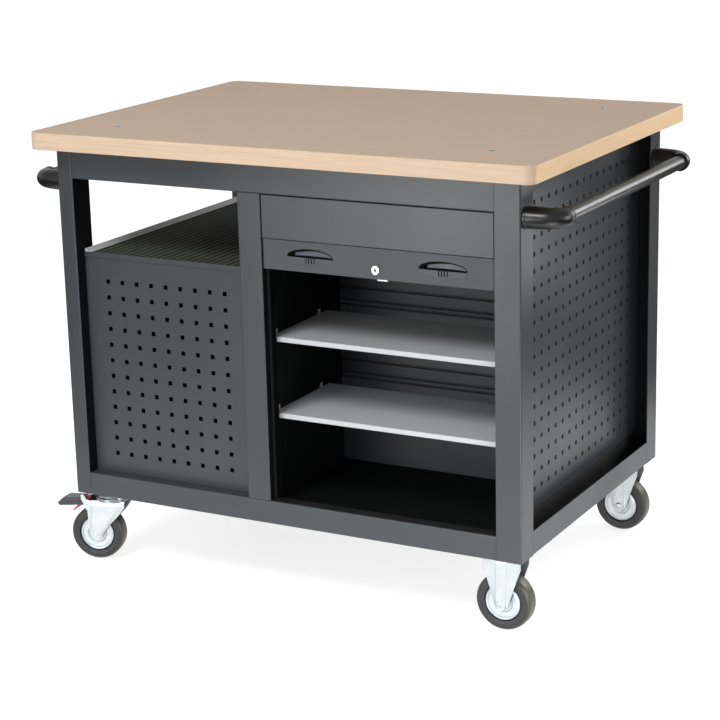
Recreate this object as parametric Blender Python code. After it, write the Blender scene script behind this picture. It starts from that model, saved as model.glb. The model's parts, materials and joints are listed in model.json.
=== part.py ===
"""Mobile workbench: a tube frame on four castors, with a board top, a roller-shutter cabinet, a tool tray
and push handles at both ends.

Metres, +Z up. The front faces -Y and the origin lies on the floor under the middle of the frame.
"""

import math

import bmesh
import bpy
import numpy as np

# Frame, measured over the outside of the posts
FRAME_WIDTH = 1.110
FRAME_DEPTH = 0.780
FRAME_HEIGHT = 0.796
POST_WIDTH = 0.038
POST_DEPTH = 0.064
LIP_POST_WIDTH = 0.057
LIP_SHEET = 0.0025
MID_POST_FROM_LEFT = 0.460
MID_POST_WIDTH = 0.056
MID_POST_DEPTH = 0.038
TUBE_WALL = 0.002
TOP_RAIL_HEIGHT = 0.066
TOP_RAIL_DEPTH = 0.013
BOTTOM_RAIL_HEIGHT = 0.0525
BOTTOM_RAIL_DEPTH = 0.030
END_RAIL_SEAT = 0.004

# Clearances
SEAT = 0.0003
SLIDE_CLEARANCE = 0.0009
SHOW_GAP = 0.0015

# Board top
TOP_THICKNESS = 0.038
TOP_SIDE_OVERHANG = 0.045
TOP_FRONT_OVERHANG = 0.040
TOP_CORNER_RADIUS = 0.022

# Sheet metal
SHEET = 0.0015
PANEL_RECESS = 0.031
RIGHT_PANEL_RECESS = 0.050
FLOOR_LEVEL = 0.045
HOLE_SIZE = 0.010
HOLE_PITCH = 0.038
HOLE_ROW_PITCH = 0.0363
FRONT_HOLE_COLUMNS = 9
FRONT_HOLE_ROWS = 12
FRONT_HOLE_TOP_MARGIN = 0.0516
END_HOLE_COLUMNS = 18
END_HOLE_ROWS = 18
END_HOLE_TOP_MARGIN = 0.0781

# Tool tray in the left bay
TRAY_TOP = 0.554
TRAY_LIP_DROP = 0.005
TRAY_LIP_RISE = 0.007
TRAY_RIM_RISE = 0.013
MAT_THICKNESS = 0.004

# Cabinet in the right bay
PARTITION_SETBACK = 0.009
BACK_WALL_FROM_FRONT = 0.350
RIB_PITCH = 0.0341
RIB_WIDTH = 0.006
RIB_DEPTH = 0.003
RIB_START = 0.205
SHELF_THICKNESS = 0.0115
SHELF_FROM_FRONT = 0.040
SHELF_DEPTH = 0.250
UPPER_SHELF_LEVEL = 0.4125
LOWER_SHELF_LEVEL = 0.242

# Roller shutter
FASCIA_SETBACK = 0.0015
BAR_SETBACK = 0.004
BAR_HEIGHT = 0.0643
BAR_THICKNESS = 0.0097
BAR_SEAT = 0.005
GUIDE_WALL = 0.0012
GUIDE_LIP = 0.008
CURTAIN_THICKNESS = 0.005
CURTAIN_LIFT = 0.008
CURTAIN_OVERLAP = 0.008
CURTAIN_HEADROOM = 0.0198
CURTAIN_PARTS = 3
SLATS = 8
SLAT_GROOVE = 0.0018
SLAT_GROOVE_WIDTH = 0.003
GRIP_FROM_END = 0.1135
GRIP_WIDTH = 0.110
GRIP_HEIGHT = 0.035
GRIP_FLANGE = 0.003
GRIP_FLANGE_THICKNESS = 0.0012
GRIP_WALL = 0.002
LOCK_RADIUS = 0.0095
LOCK_FLANGE = 0.0015
LOCK_FLANGE_THICKNESS = 0.0025
LOCK_FROM_BAR_BOTTOM = 0.0186

# Push handles
HANDLE_FROM_TOP = 0.077
HANDLE_REACH = 0.070
HANDLE_TUBE_RADIUS = 0.016
HANDLE_TUBE_WALL = 0.0015
BRACKET_BASE_HALF_DEPTH = 0.029
BRACKET_BASE_HALF_HEIGHT = 0.022
BRACKET_FLANGE = 0.006
BRACKET_SOCKET_WALL = 0.003
BRACKET_BEND = 0.030
BRACKET_SOCKET_DEPTH = 0.014
BRACKET_SOCKET_RUN = 0.006

# Castors
TYRE_WIDTH = 0.040
TYRE_SHOULDER = 0.006
HUB_RADIUS = 0.041
HUB_LIP = 0.003
HUB_BARREL_RADIUS = 0.014
AXLE_RADIUS = 0.006
AXLE_HEAD_RADIUS = 0.010
AXLE_HEAD = 0.006
RUNNING_CLEARANCE = 0.0003
CASTOR_HEIGHT = 0.168
CASTOR_HEAD = 0.043
CASTOR_INSET_X = 0.060
CASTOR_INSET_Y = 0.055
PLATE_LENGTH = 0.105
PLATE_WIDTH = 0.085
PLATE_THICKNESS = 0.004
FORK_SHEET = 0.004
FORK_TYRE_CLEARANCE = 0.003
FORK_FOOT_RADIUS = 0.016
FIXED_FORK_TOP_WIDTH = 0.088
FIXED_FORK_SHOULDER = 0.022
SWIVEL_OFFSET = 0.038
SWIVEL_YAW = math.radians(15)
RACE_RADIUS = 0.040
RACE_HEIGHT = 0.0104
CROWN_RADIUS = 0.043
KINGPIN_RADIUS = 0.006
KINGPIN_HEAD_RADIUS = 0.011
KINGPIN_HEAD = 0.005
PEDAL_HINGE_BACK = 0.030
PEDAL_HINGE_DROP = 0.030
PEDAL_BOSS_RADIUS = 0.0065
PEDAL_REACH = 0.107
PEDAL_TIP_DROP = 0.013
PEDAL_THICKNESS = 0.014
PEDAL_WIDTH = 0.038

# Fineness of the round pieces
WHEEL_SEGMENTS = 24
BOLT_SEGMENTS = 12
TUBE_SEGMENTS = 16
OVAL_SEGMENTS = 24
CORNER_STEPS = 4
BEND_STEPS = 4
SHOULDER_STEPS = 2

# Places that follow from the sizes above
LEFT = -FRAME_WIDTH / 2
RIGHT = FRAME_WIDTH / 2
FRONT = -FRAME_DEPTH / 2
BACK = FRAME_DEPTH / 2
BASE = CASTOR_HEIGHT
TOP = BASE + FRAME_HEIGHT
RAIL_TOP = BASE + BOTTOM_RAIL_HEIGHT
TOP_RAIL_BOTTOM = TOP - TOP_RAIL_HEIGHT
BAY_LEFT = LEFT + POST_WIDTH
MID_LEFT = LEFT + MID_POST_FROM_LEFT
MID_RIGHT = MID_LEFT + MID_POST_WIDTH
CABINET_RIGHT = RIGHT - LIP_POST_WIDTH
PARTITION_X = MID_RIGHT - PARTITION_SETBACK
RIGHT_PANEL_X = RIGHT - RIGHT_PANEL_RECESS
RIGHT_WALL_X = RIGHT_PANEL_X - SHEET
REAR_PANEL_Y = BACK - PANEL_RECESS
BACK_WALL_Y = FRONT + BACK_WALL_FROM_FRONT
FLOOR_TOP = BASE + FLOOR_LEVEL
TRAY_FLOOR_Z = BASE + TRAY_TOP
TRAY_BOTTOM_Z = TRAY_FLOOR_Z - TRAY_LIP_DROP
WHEEL_RADIUS = (CASTOR_HEIGHT - CASTOR_HEAD) / 2
FASCIA_TOP = TOP_RAIL_BOTTOM - SHOW_GAP
# The fascia, the top rail and the bar together hide the raised curtain parts, which share the height to cover.
# Its height follows from that, to a tenth of a millimetre.
CURTAIN_REACH = FASCIA_TOP + CURTAIN_PARTS * CURTAIN_OVERLAP - RAIL_TOP - BAR_SEAT - CURTAIN_LIFT
HOUSING = TOP_RAIL_HEIGHT + 2 * SHOW_GAP + BAR_HEIGHT - CURTAIN_LIFT - CURTAIN_HEADROOM
FASCIA_HEIGHT = round((CURTAIN_REACH / CURTAIN_PARTS - HOUSING) / (1 + 1 / CURTAIN_PARTS), 4)
FASCIA_BOTTOM = FASCIA_TOP - FASCIA_HEIGHT
BAR_TOP = FASCIA_BOTTOM - SHOW_GAP
BAR_BOTTOM = BAR_TOP - BAR_HEIGHT
BAR_TRAVEL = BAR_BOTTOM - RAIL_TOP - BAR_SEAT
BAR_LEFT = MID_RIGHT + SHOW_GAP
BAR_RIGHT = CABINET_RIGHT - SHOW_GAP
BAR_FRONT = FRONT + BAR_SETBACK
BAR_BACK = BAR_FRONT + BAR_THICKNESS
BAR_MIDDLE = (BAR_LEFT + BAR_RIGHT) / 2
LEFT_GRIP_X = BAR_LEFT + GRIP_FROM_END
RIGHT_GRIP_X = BAR_RIGHT - GRIP_FROM_END
GUIDE_FRONT = BAR_BACK + SLIDE_CLEARANCE
CURTAIN_STEP = CURTAIN_THICKNESS + SLIDE_CLEARANCE
CURTAIN_FRONT = GUIDE_FRONT + GUIDE_WALL + SLIDE_CLEARANCE
GUIDE_BACK = CURTAIN_FRONT + CURTAIN_PARTS * CURTAIN_STEP + GUIDE_WALL
CURTAIN_BOTTOM = BAR_BOTTOM + CURTAIN_LIFT
CURTAIN_COVER = FASCIA_BOTTOM + CURTAIN_OVERLAP - (CURTAIN_BOTTOM - BAR_TRAVEL)
CURTAIN_HEIGHT = (CURTAIN_COVER + (CURTAIN_PARTS - 1) * CURTAIN_OVERLAP) / CURTAIN_PARTS
FORK_INNER = TYRE_WIDTH / 2 + FORK_TYRE_CLEARANCE
FORK_OUTER = FORK_INNER + FORK_SHEET
PLATE_TOP = CASTOR_HEIGHT - SEAT
PLATE_BOTTOM = PLATE_TOP - PLATE_THICKNESS
RACE_BOTTOM = PLATE_BOTTOM - RACE_HEIGHT
CROWN_TOP = RACE_BOTTOM - RUNNING_CLEARANCE
CROWN_BOTTOM = CROWN_TOP - FORK_SHEET

# Colour, roughness and metallic value of each finish
COAT = ((0.080, 0.086, 0.092), 0.45, 0.0)
GREY_COAT = ((0.42, 0.43, 0.44), 0.45, 0.0)
BOARD = ((0.55, 0.40, 0.27), 0.55, 0.0)
RUBBER = ((0.020, 0.020, 0.021), 0.80, 0.0)
BLACK_PLASTIC = ((0.012, 0.012, 0.013), 0.40, 0.0)
ZINC = ((0.74, 0.75, 0.76), 0.35, 1.0)


def clear_scene():
    """Remove every object that the file holds."""
    for obj in list(bpy.data.objects):
        bpy.data.objects.remove(obj, do_unlink=True)


def mesh_of(name, shape):
    """A mesh of a (points, faces) shape, with its faces turned outwards."""
    points, faces = shape
    mesh = bpy.data.meshes.new(name)
    mesh.from_pydata([tuple(map(float, point)) for point in points], [], faces)
    work = bmesh.new()
    work.from_mesh(mesh)
    bmesh.ops.recalc_face_normals(work, faces=work.faces)
    work.to_mesh(mesh)
    work.free()
    return mesh


def finish(name, look):
    """A material for one piece: its colour, roughness and metallic value."""
    colour, roughness, metallic = look
    material = bpy.data.materials.new(name + "_finish")
    material.use_nodes = True
    shader = material.node_tree.nodes["Principled BSDF"]
    shader.inputs["Base Color"].default_value = (*colour, 1.0)
    shader.inputs["Roughness"].default_value = roughness
    shader.inputs["Metallic"].default_value = metallic
    return material


def add_mesh(name, mesh, look, place=(0.0, 0.0, 0.0), parent=None, smooth=False):
    """One named piece in the scene, at a place under its parent."""
    if smooth:
        mesh.shade_smooth()
        mesh.set_sharp_from_angle(angle=math.radians(40))
    piece = bpy.data.objects.new(name, mesh)
    if not mesh.materials:
        mesh.materials.append(finish(name, look))
    piece.location = place
    piece.parent = parent
    bpy.context.scene.collection.objects.link(piece)
    return piece


def add(name, shape, look, place=(0.0, 0.0, 0.0), parent=None, smooth=False):
    """One named piece made from a (points, faces) shape."""
    return add_mesh(name, mesh_of(name, shape), look, place, parent, smooth)


def add_axis(name, place, parent=None, yaw=0.0):
    """An empty that carries the pieces turning on one axis."""
    axis = bpy.data.objects.new(name, None)
    axis.location = place
    axis.rotation_euler = (0.0, 0.0, yaw)
    axis.parent = parent
    bpy.context.scene.collection.objects.link(axis)
    return axis


def prism(outline, axis, start, stop):
    """An outline on the two axes other than axis, carried straight from start to stop."""
    flat = np.asarray(outline, float)
    others = [i for i in range(3) if i != axis]
    rings = []
    for level in (start, stop):
        ring = np.empty((len(flat), 3))
        ring[:, others] = flat
        ring[:, axis] = level
        rings.append(ring)
    return loft(rings)


def loft(rings):
    """Rings of equal count joined in order, with the first and the last closed flat."""
    count = len(rings[0])
    faces = [tuple(range(count))]
    for k in range(len(rings) - 1):
        low = k * count
        high = low + count
        for i in range(count):
            j = (i + 1) % count
            faces.append((low + i, low + j, high + j, high + i))
    last = (len(rings) - 1) * count
    faces.append(tuple(range(last, last + count)))
    return np.vstack(rings), faces


def box(low, high):
    """A box between two corners."""
    outline = [(low[0], low[1]), (high[0], low[1]), (high[0], high[1]), (low[0], high[1])]
    return prism(outline, 2, low[2], high[2])


def square_tube(low, high, axis, wall=TUBE_WALL):
    """A rectangular tube between two corners, open at both ends along axis."""
    others = [i for i in range(3) if i != axis]
    loops = []
    for level in (low[axis], high[axis]):
        for inset in (0.0, wall):
            a0, b0 = low[others[0]] + inset, low[others[1]] + inset
            a1, b1 = high[others[0]] - inset, high[others[1]] - inset
            ring = np.empty((4, 3))
            ring[:, others] = [(a0, b0), (a1, b0), (a1, b1), (a0, b1)]
            ring[:, axis] = level
            loops.append(ring)
    faces = []
    for first, second in ((0, 1), (1, 3), (3, 2), (2, 0)):
        for i in range(4):
            j = (i + 1) % 4
            faces.append((4 * first + i, 4 * first + j, 4 * second + j, 4 * second + i))
    return np.vstack(loops), faces


def turned(profile, segments, closed=False):
    """A profile of (radius, y) points turned about the Y axis, with a flat facet at the bottom.

    A closed profile makes a ring. An open one is closed flat at its two ends.
    """
    turn = (np.arange(segments) + 0.5) * 2 * np.pi / segments
    rings = []
    for radius, y in profile:
        ring = np.stack([radius * np.cos(turn), np.full(segments, y), radius * np.sin(turn)], axis=1)
        rings.append(ring)
    points, faces = loft(rings)
    if closed:
        faces = faces[1:-1]
        last = (len(rings) - 1) * segments
        for i in range(segments):
            j = (i + 1) % segments
            faces.append((last + i, last + j, j, i))
    return points, faces


def on_z(shape):
    """A shape turned about Y, stood up so that its axis is Z."""
    points, faces = shape
    return np.stack([points[:, 0], -points[:, 2], points[:, 1]], axis=1), faces


def moved(shape, by):
    """A shape carried by a vector."""
    points, faces = shape
    return points + np.asarray(by, float), faces


def arc(centre, radius, start, stop, steps):
    """Points on an arc, from one angle to another in degrees."""
    angles = np.radians(np.linspace(start, stop, steps + 1))
    return [(centre[0] + radius * math.cos(a), centre[1] + radius * math.sin(a)) for a in angles]


def oval(centre, half_width, half_height, segments=OVAL_SEGMENTS):
    """Points on an upright ellipse."""
    angles = np.arange(segments) * 2 * np.pi / segments
    return [(centre[0] + half_width * math.cos(a), centre[1] + half_height * math.sin(a)) for a in angles]


def carved(name, pieces, cutters):
    """A mesh of the pieces joined into one body, with the cutters taken away."""
    helpers = []
    for k, shape in enumerate(pieces + cutters):
        helper = bpy.data.objects.new(f"{name}_blank_{k}", mesh_of(name, shape))
        bpy.context.scene.collection.objects.link(helper)
        helpers.append(helper)
    body = helpers[0]
    for k, helper in enumerate(helpers[1:], start=1):
        cut = body.modifiers.new(helper.name, "BOOLEAN")
        cut.object = helper
        cut.operation = "UNION" if k < len(pieces) else "DIFFERENCE"
        cut.solver = "EXACT"
    bpy.context.view_layer.update()
    graph = bpy.context.evaluated_depsgraph_get()
    mesh = bpy.data.meshes.new_from_object(body.evaluated_get(graph))
    mesh.name = name
    for helper in helpers:
        bpy.data.objects.remove(helper, do_unlink=True)
    return mesh


def perforated(width, height, columns, rows, first_u, first_v):
    """A sheet in U and V with square holes, as (u, v, front or back) points and faces.

    Each hole sits in a cell of one pitch each way, so four quads frame it, and one strip on each side joins
    the block of cells to the sheet's edge. first_u and first_v are the lower left hole's centre.
    """
    cell_u = first_u - HOLE_PITCH / 2 + HOLE_PITCH * np.arange(columns + 1)
    cell_v = first_v - HOLE_ROW_PITCH / 2 + HOLE_ROW_PITCH * np.arange(rows + 1)
    points = [(0.0, 0.0), (width, 0.0), (width, height), (0.0, height)]
    corner = {}
    for i, u in enumerate(cell_u):
        for j, v in enumerate(cell_v):
            corner[i, j] = len(points)
            points.append((u, v))
    front = []
    holes = []
    half = HOLE_SIZE / 2
    for i in range(columns):
        for j in range(rows):
            u = first_u + i * HOLE_PITCH
            v = first_v + j * HOLE_ROW_PITCH
            start = len(points)
            points += [(u - half, v - half), (u + half, v - half), (u + half, v + half), (u - half, v + half)]
            cell = (corner[i, j], corner[i + 1, j], corner[i + 1, j + 1], corner[i, j + 1])
            hole = tuple(range(start, start + 4))
            holes.append(hole)
            for k in range(4):
                n = (k + 1) % 4
                front.append((cell[k], cell[n], hole[n], hole[k]))
    along = [corner[i, 0] for i in range(columns + 1)]
    front.append((0, 1, *reversed(along)))
    along = [corner[columns, j] for j in range(rows + 1)]
    front.append((1, 2, *reversed(along)))
    along = [corner[i, rows] for i in range(columns, -1, -1)]
    front.append((2, 3, *reversed(along)))
    along = [corner[0, j] for j in range(rows, -1, -1)]
    front.append((3, 0, *reversed(along)))
    count = len(points)
    faces = front + [tuple(count + i for i in reversed(face)) for face in front]
    for loop in [(3, 2, 1, 0)] + holes:
        for k in range(4):
            a, b = loop[k], loop[(k + 1) % 4]
            faces.append((a, b, count + b, count + a))
    return np.asarray(points), faces


def stand_sheet(flat, axis, near, far, origin):
    """A perforated sheet stood up: its front and back lie at near and far on axis, V runs up Z."""
    points, faces = flat
    across = 1 - axis
    sides = []
    for level in (near, far):
        side = np.empty((len(points), 3))
        side[:, across] = origin[0] + points[:, 0]
        side[:, 2] = origin[1] + points[:, 1]
        side[:, axis] = level
        sides.append(side)
    return np.vstack(sides), faces


def board_top():
    """The board: a slab with rounded corners that overhangs the frame on every side."""
    half_x = FRAME_WIDTH / 2 + TOP_SIDE_OVERHANG - TOP_CORNER_RADIUS
    half_y = FRAME_DEPTH / 2 + TOP_FRONT_OVERHANG - TOP_CORNER_RADIUS
    outline = []
    for sx, sy, start in ((1, 1, 0), (-1, 1, 90), (-1, -1, 180), (1, -1, 270)):
        outline += arc((sx * half_x, sy * half_y), TOP_CORNER_RADIUS, start, start + 90, CORNER_STEPS)
    place = (0.0, 0.0, TOP + SEAT)
    add("tabletop", prism(outline, 2, 0.0, TOP_THICKNESS), BOARD, place)


def posts():
    """Two tube posts at the left, two folded lip posts at the right and the post between the bays."""
    for name, y in (("front_left_post", FRONT), ("rear_left_post", BACK - POST_DEPTH)):
        tube = square_tube((0, 0, 0), (POST_WIDTH, POST_DEPTH, FRAME_HEIGHT), 2)
        add(name, tube, COAT, (LEFT, y, BASE))
    for name, side, y in (("front_right_post", 1, FRONT), ("rear_right_post", -1, BACK)):
        angle = [
            (-LIP_POST_WIDTH, 0.0),
            (0.0, 0.0),
            (0.0, side * POST_DEPTH),
            (-LIP_SHEET, side * POST_DEPTH),
            (-LIP_SHEET, side * LIP_SHEET),
            (-LIP_POST_WIDTH, side * LIP_SHEET),
        ]
        add(name, prism(angle, 2, 0.0, FRAME_HEIGHT), COAT, (RIGHT, y, BASE))
    height = TOP_RAIL_BOTTOM - RAIL_TOP - 2 * SEAT
    tube = square_tube((0, 0, 0), (MID_POST_WIDTH, MID_POST_DEPTH, height), 2)
    add("mid_post", tube, COAT, (MID_LEFT, FRONT, RAIL_TOP + SEAT))


def rails():
    """Rails between the posts: flat box sections on top, tubes and one folded angle at the bottom."""
    start = BAY_LEFT + SEAT
    length = CABINET_RIGHT - SEAT - start
    for side in ("front", "rear"):
        top_y = FRONT if side == "front" else BACK - TOP_RAIL_DEPTH
        shape = square_tube((0, 0, 0), (length, TOP_RAIL_DEPTH, TOP_RAIL_HEIGHT), 0)
        add(side + "_top_rail", shape, COAT, (start, top_y, TOP_RAIL_BOTTOM))
        bottom_y = FRONT if side == "front" else BACK - BOTTOM_RAIL_DEPTH
        shape = square_tube((0, 0, 0), (length, BOTTOM_RAIL_DEPTH, BOTTOM_RAIL_HEIGHT), 0)
        add(side + "_bottom_rail", shape, COAT, (start, bottom_y, BASE))
    near = FRONT + POST_DEPTH + SEAT
    run = FRAME_DEPTH - 2 * (POST_DEPTH + SEAT)
    shape = square_tube((0, 0, 0), (TOP_RAIL_DEPTH, run, TOP_RAIL_HEIGHT), 1)
    add("left_top_rail", shape, COAT, (LEFT, near, TOP_RAIL_BOTTOM))
    shape = square_tube((0, 0, 0), (POST_WIDTH, run, BOTTOM_RAIL_HEIGHT), 1)
    add("left_bottom_rail", shape, COAT, (LEFT, near, BASE))
    flange = RIGHT_PANEL_RECESS + END_RAIL_SEAT
    angle = [
        (0.0, 0.0),
        (-flange, 0.0),
        (-flange, LIP_SHEET),
        (-LIP_SHEET, LIP_SHEET),
        (-LIP_SHEET, BOTTOM_RAIL_HEIGHT),
        (0.0, BOTTOM_RAIL_HEIGHT),
    ]
    add("right_bottom_rail", prism(angle, 1, 0.0, run), COAT, (RIGHT, near, BASE))


def panels():
    """The cabinet floor and the sheets that close the sides of the frame."""
    front = FRONT + BOTTOM_RAIL_DEPTH + SEAT
    back = BACK - BOTTOM_RAIL_DEPTH - SEAT
    low = (BAY_LEFT + SEAT, front, FLOOR_TOP - SHEET)
    add("floor_pan", box(low, (RIGHT_WALL_X - SEAT, back, FLOOR_TOP)), COAT)
    sheet_bottom = FLOOR_TOP + SEAT
    sheet_top = TRAY_BOTTOM_Z - SEAT

    width = MID_LEFT - BAY_LEFT - 2 * SEAT
    height = sheet_top - sheet_bottom
    first_u = (width - (FRONT_HOLE_COLUMNS - 1) * HOLE_PITCH) / 2
    first_v = height - FRONT_HOLE_TOP_MARGIN - (FRONT_HOLE_ROWS - 1) * HOLE_ROW_PITCH
    flat = perforated(width, height, FRONT_HOLE_COLUMNS, FRONT_HOLE_ROWS, first_u, first_v)
    y = FRONT + PANEL_RECESS
    sheet = stand_sheet(flat, 1, y, y + SHEET, (BAY_LEFT + SEAT, sheet_bottom))
    add("left_front_panel", sheet, COAT)

    end_y = FRONT + LIP_SHEET + SEAT
    end_z = BASE + LIP_SHEET + SEAT
    width = FRAME_DEPTH - 2 * (LIP_SHEET + SEAT)
    height = TOP - SEAT - end_z
    first_u = (width - (END_HOLE_COLUMNS - 1) * HOLE_PITCH) / 2
    first_v = height - END_HOLE_TOP_MARGIN - (END_HOLE_ROWS - 1) * HOLE_ROW_PITCH
    flat = perforated(width, height, END_HOLE_COLUMNS, END_HOLE_ROWS, first_u, first_v)
    sheet = stand_sheet(flat, 0, RIGHT_WALL_X, RIGHT_PANEL_X, (end_y, end_z))
    add("right_end_panel", sheet, COAT)

    low = (BAY_LEFT + SEAT, FRONT + PANEL_RECESS + SHEET + SEAT, sheet_bottom)
    high = (BAY_LEFT + SEAT + SHEET, REAR_PANEL_Y - SHEET - SEAT, sheet_top)
    add("left_end_panel", box(low, high), COAT)

    left = BAY_LEFT + SEAT
    step = PARTITION_X - SHEET
    right = RIGHT_WALL_X - SEAT
    top = TOP_RAIL_BOTTOM - SEAT
    outline = [
        (left, sheet_bottom),
        (right, sheet_bottom),
        (right, top),
        (step, top),
        (step, sheet_top),
        (left, sheet_top),
    ]
    add("rear_panel", prism(outline, 1, REAR_PANEL_Y - SHEET, REAR_PANEL_Y), COAT)


def bay_outline(inset, front):
    """The left bay's plan: it steps back round the mid post and stops at the partition."""
    left = BAY_LEFT + SEAT + inset
    step_x = MID_LEFT - SEAT - inset
    step_y = FRONT + MID_POST_DEPTH + SEAT + inset
    right = PARTITION_X - SHEET - SEAT - inset
    back = REAR_PANEL_Y - inset
    return [(left, front), (step_x, front), (step_x, step_y), (right, step_y), (right, back), (left, back)]


def tool_tray():
    """The tray over the left bay, with a lip in front, rims at the end and the back, and its rubber mat."""
    front = FRONT + PANEL_RECESS - SHEET
    left = BAY_LEFT + SEAT
    step_x = MID_LEFT - SEAT
    right = PARTITION_X - SHEET - SEAT
    back = REAR_PANEL_Y
    rim_top = TRAY_FLOOR_Z + TRAY_RIM_RISE
    floor = prism(bay_outline(0.0, front), 2, TRAY_FLOOR_Z - SHEET, TRAY_FLOOR_Z)
    lip = box((left, front, TRAY_BOTTOM_Z), (step_x, front + SHEET, TRAY_FLOOR_Z + TRAY_LIP_RISE))
    rim = box((left, front, TRAY_BOTTOM_Z), (left + SHEET, back, rim_top))
    rear_rim = box((left, back - SHEET, TRAY_BOTTOM_Z), (right, back, rim_top))
    add_mesh("tool_tray", carved("tool_tray", [floor, lip, rim, rear_rim], []), COAT)
    inset = SHEET + SEAT
    outline = bay_outline(inset, front + inset)
    mat = prism(outline, 2, TRAY_FLOOR_Z + SEAT, TRAY_FLOOR_Z + SEAT + MAT_THICKNESS)
    add("tray_mat", mat, RUBBER)


def ribbed_wall():
    """The cabinet's back wall in section: a sheet with shallow grooves pressed in at one pitch."""
    bottom = FLOOR_TOP + SEAT
    top = TOP - SEAT
    line = [(0.0, bottom)]
    rib = BASE + RIB_START
    while rib + RIB_PITCH < top:
        half = RIB_WIDTH / 2
        line += [(0.0, rib - half), (RIB_DEPTH, rib - half / 3), (RIB_DEPTH, rib + half / 3), (0.0, rib + half)]
        rib += RIB_PITCH
    line.append((0.0, top))
    front = [(BACK_WALL_Y + y, z) for y, z in line]
    back = [(BACK_WALL_Y + SHEET + y, z) for y, z in reversed(line)]
    return prism(front + back, 0, PARTITION_X + SEAT, RIGHT_WALL_X - SEAT)


def cabinet():
    """The right bay: the wall beside the tray, the ribbed back wall and two shelves."""
    low = (PARTITION_X - SHEET, FRONT + MID_POST_DEPTH + SEAT, FLOOR_TOP + SEAT)
    high = (PARTITION_X, REAR_PANEL_Y - SHEET - SEAT, TOP - SEAT)
    add("cabinet_partition", box(low, high), COAT)
    add("cabinet_back_wall", ribbed_wall(), COAT)
    front = FRONT + SHELF_FROM_FRONT
    for name, level in (("upper_shelf", UPPER_SHELF_LEVEL), ("lower_shelf", LOWER_SHELF_LEVEL)):
        low = (PARTITION_X + SEAT, front, BASE + level - SHELF_THICKNESS)
        high = (RIGHT_WALL_X - SEAT, front + SHELF_DEPTH, BASE + level)
        add(name, box(low, high), GREY_COAT)


def shutter_fixed_pieces():
    """The fascia that hides the open shutter, and the channel that guides it on each side."""
    front = FRONT + FASCIA_SETBACK
    back = GUIDE_FRONT - SEAT
    section = [
        (front, FASCIA_BOTTOM),
        (back, FASCIA_BOTTOM),
        (back, FASCIA_BOTTOM + SHEET),
        (front + SHEET, FASCIA_BOTTOM + SHEET),
        (front + SHEET, FASCIA_TOP - SHEET),
        (back, FASCIA_TOP - SHEET),
        (back, FASCIA_TOP),
        (front, FASCIA_TOP),
    ]
    add("shutter_fascia", prism(section, 0, BAR_LEFT, BAR_RIGHT), COAT)
    sides = (("left_shutter_guide", 1, MID_RIGHT + SEAT), ("right_shutter_guide", -1, RIGHT_WALL_X - SEAT))
    for name, side, x in sides:
        section = [
            (x, GUIDE_FRONT),
            (x + side * GUIDE_LIP, GUIDE_FRONT),
            (x + side * GUIDE_LIP, GUIDE_FRONT + GUIDE_WALL),
            (x + side * GUIDE_WALL, GUIDE_FRONT + GUIDE_WALL),
            (x + side * GUIDE_WALL, GUIDE_BACK - GUIDE_WALL),
            (x + side * GUIDE_LIP, GUIDE_BACK - GUIDE_WALL),
            (x + side * GUIDE_LIP, GUIDE_BACK),
            (x, GUIDE_BACK),
        ]
        add(name, prism(section, 2, RAIL_TOP + SEAT, TOP - SEAT), COAT)


def shutter_bar():
    """The bottom bar with its two finger grips and the lock."""
    grip_z = BAR_BOTTOM + BAR_HEIGHT / 2
    lock_z = BAR_BOTTOM + LOCK_FROM_BAR_BOTTOM
    half_width = GRIP_WIDTH / 2 - GRIP_FLANGE
    half_height = GRIP_HEIGHT / 2 - GRIP_FLANGE
    blank = box((BAR_LEFT, BAR_FRONT, BAR_BOTTOM), (BAR_RIGHT, BAR_BACK, BAR_TOP))
    through = (BAR_FRONT - BAR_THICKNESS, BAR_BACK + BAR_THICKNESS)
    cutters = []
    for x in (LEFT_GRIP_X, RIGHT_GRIP_X):
        centre = (x, grip_z)
        cutters.append(prism(oval(centre, half_width, half_height), 1, *through))
    bore_radius = (LOCK_RADIUS + SEAT) / math.cos(math.pi / BOLT_SEGMENTS)
    bore = turned([(bore_radius, -BAR_THICKNESS), (bore_radius, 2 * BAR_THICKNESS)], BOLT_SEGMENTS)
    cutters.append(moved(bore, (BAR_MIDDLE, BAR_FRONT, lock_z)))
    add_mesh("shutter_bar", carved("shutter_bar", [blank], cutters), COAT)

    flange_back = -SEAT
    flange_front = flange_back - GRIP_FLANGE_THICKNESS
    plug = prism(oval((0, 0), half_width - SEAT, half_height - SEAT), 1, flange_front, BAR_THICKNESS)
    flange = prism(oval((0, 0), GRIP_WIDTH / 2, GRIP_HEIGHT / 2), 1, flange_front, flange_back)
    dome = oval((0, 0), half_width - GRIP_WALL, half_height - GRIP_WALL)
    pocket = [point for point in dome if point[1] >= -1e-9]
    cutter = prism(pocket, 1, flange_front - GRIP_WALL, BAR_THICKNESS - GRIP_WALL)
    for name, x in (("left_grip", LEFT_GRIP_X), ("right_grip", RIGHT_GRIP_X)):
        place = (x, BAR_FRONT, grip_z)
        add_mesh(name, carved(name, [plug, flange], [cutter]), BLACK_PLASTIC, place)

    rim = LOCK_RADIUS + LOCK_FLANGE
    profile = [
        (rim, -SEAT - LOCK_FLANGE_THICKNESS),
        (rim, -SEAT),
        (LOCK_RADIUS, -SEAT),
        (LOCK_RADIUS, BAR_THICKNESS),
    ]
    place = (BAR_MIDDLE, BAR_FRONT, lock_z)
    add("lock_cylinder", turned(profile, BOLT_SEGMENTS), ZINC, place, smooth=True)


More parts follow.
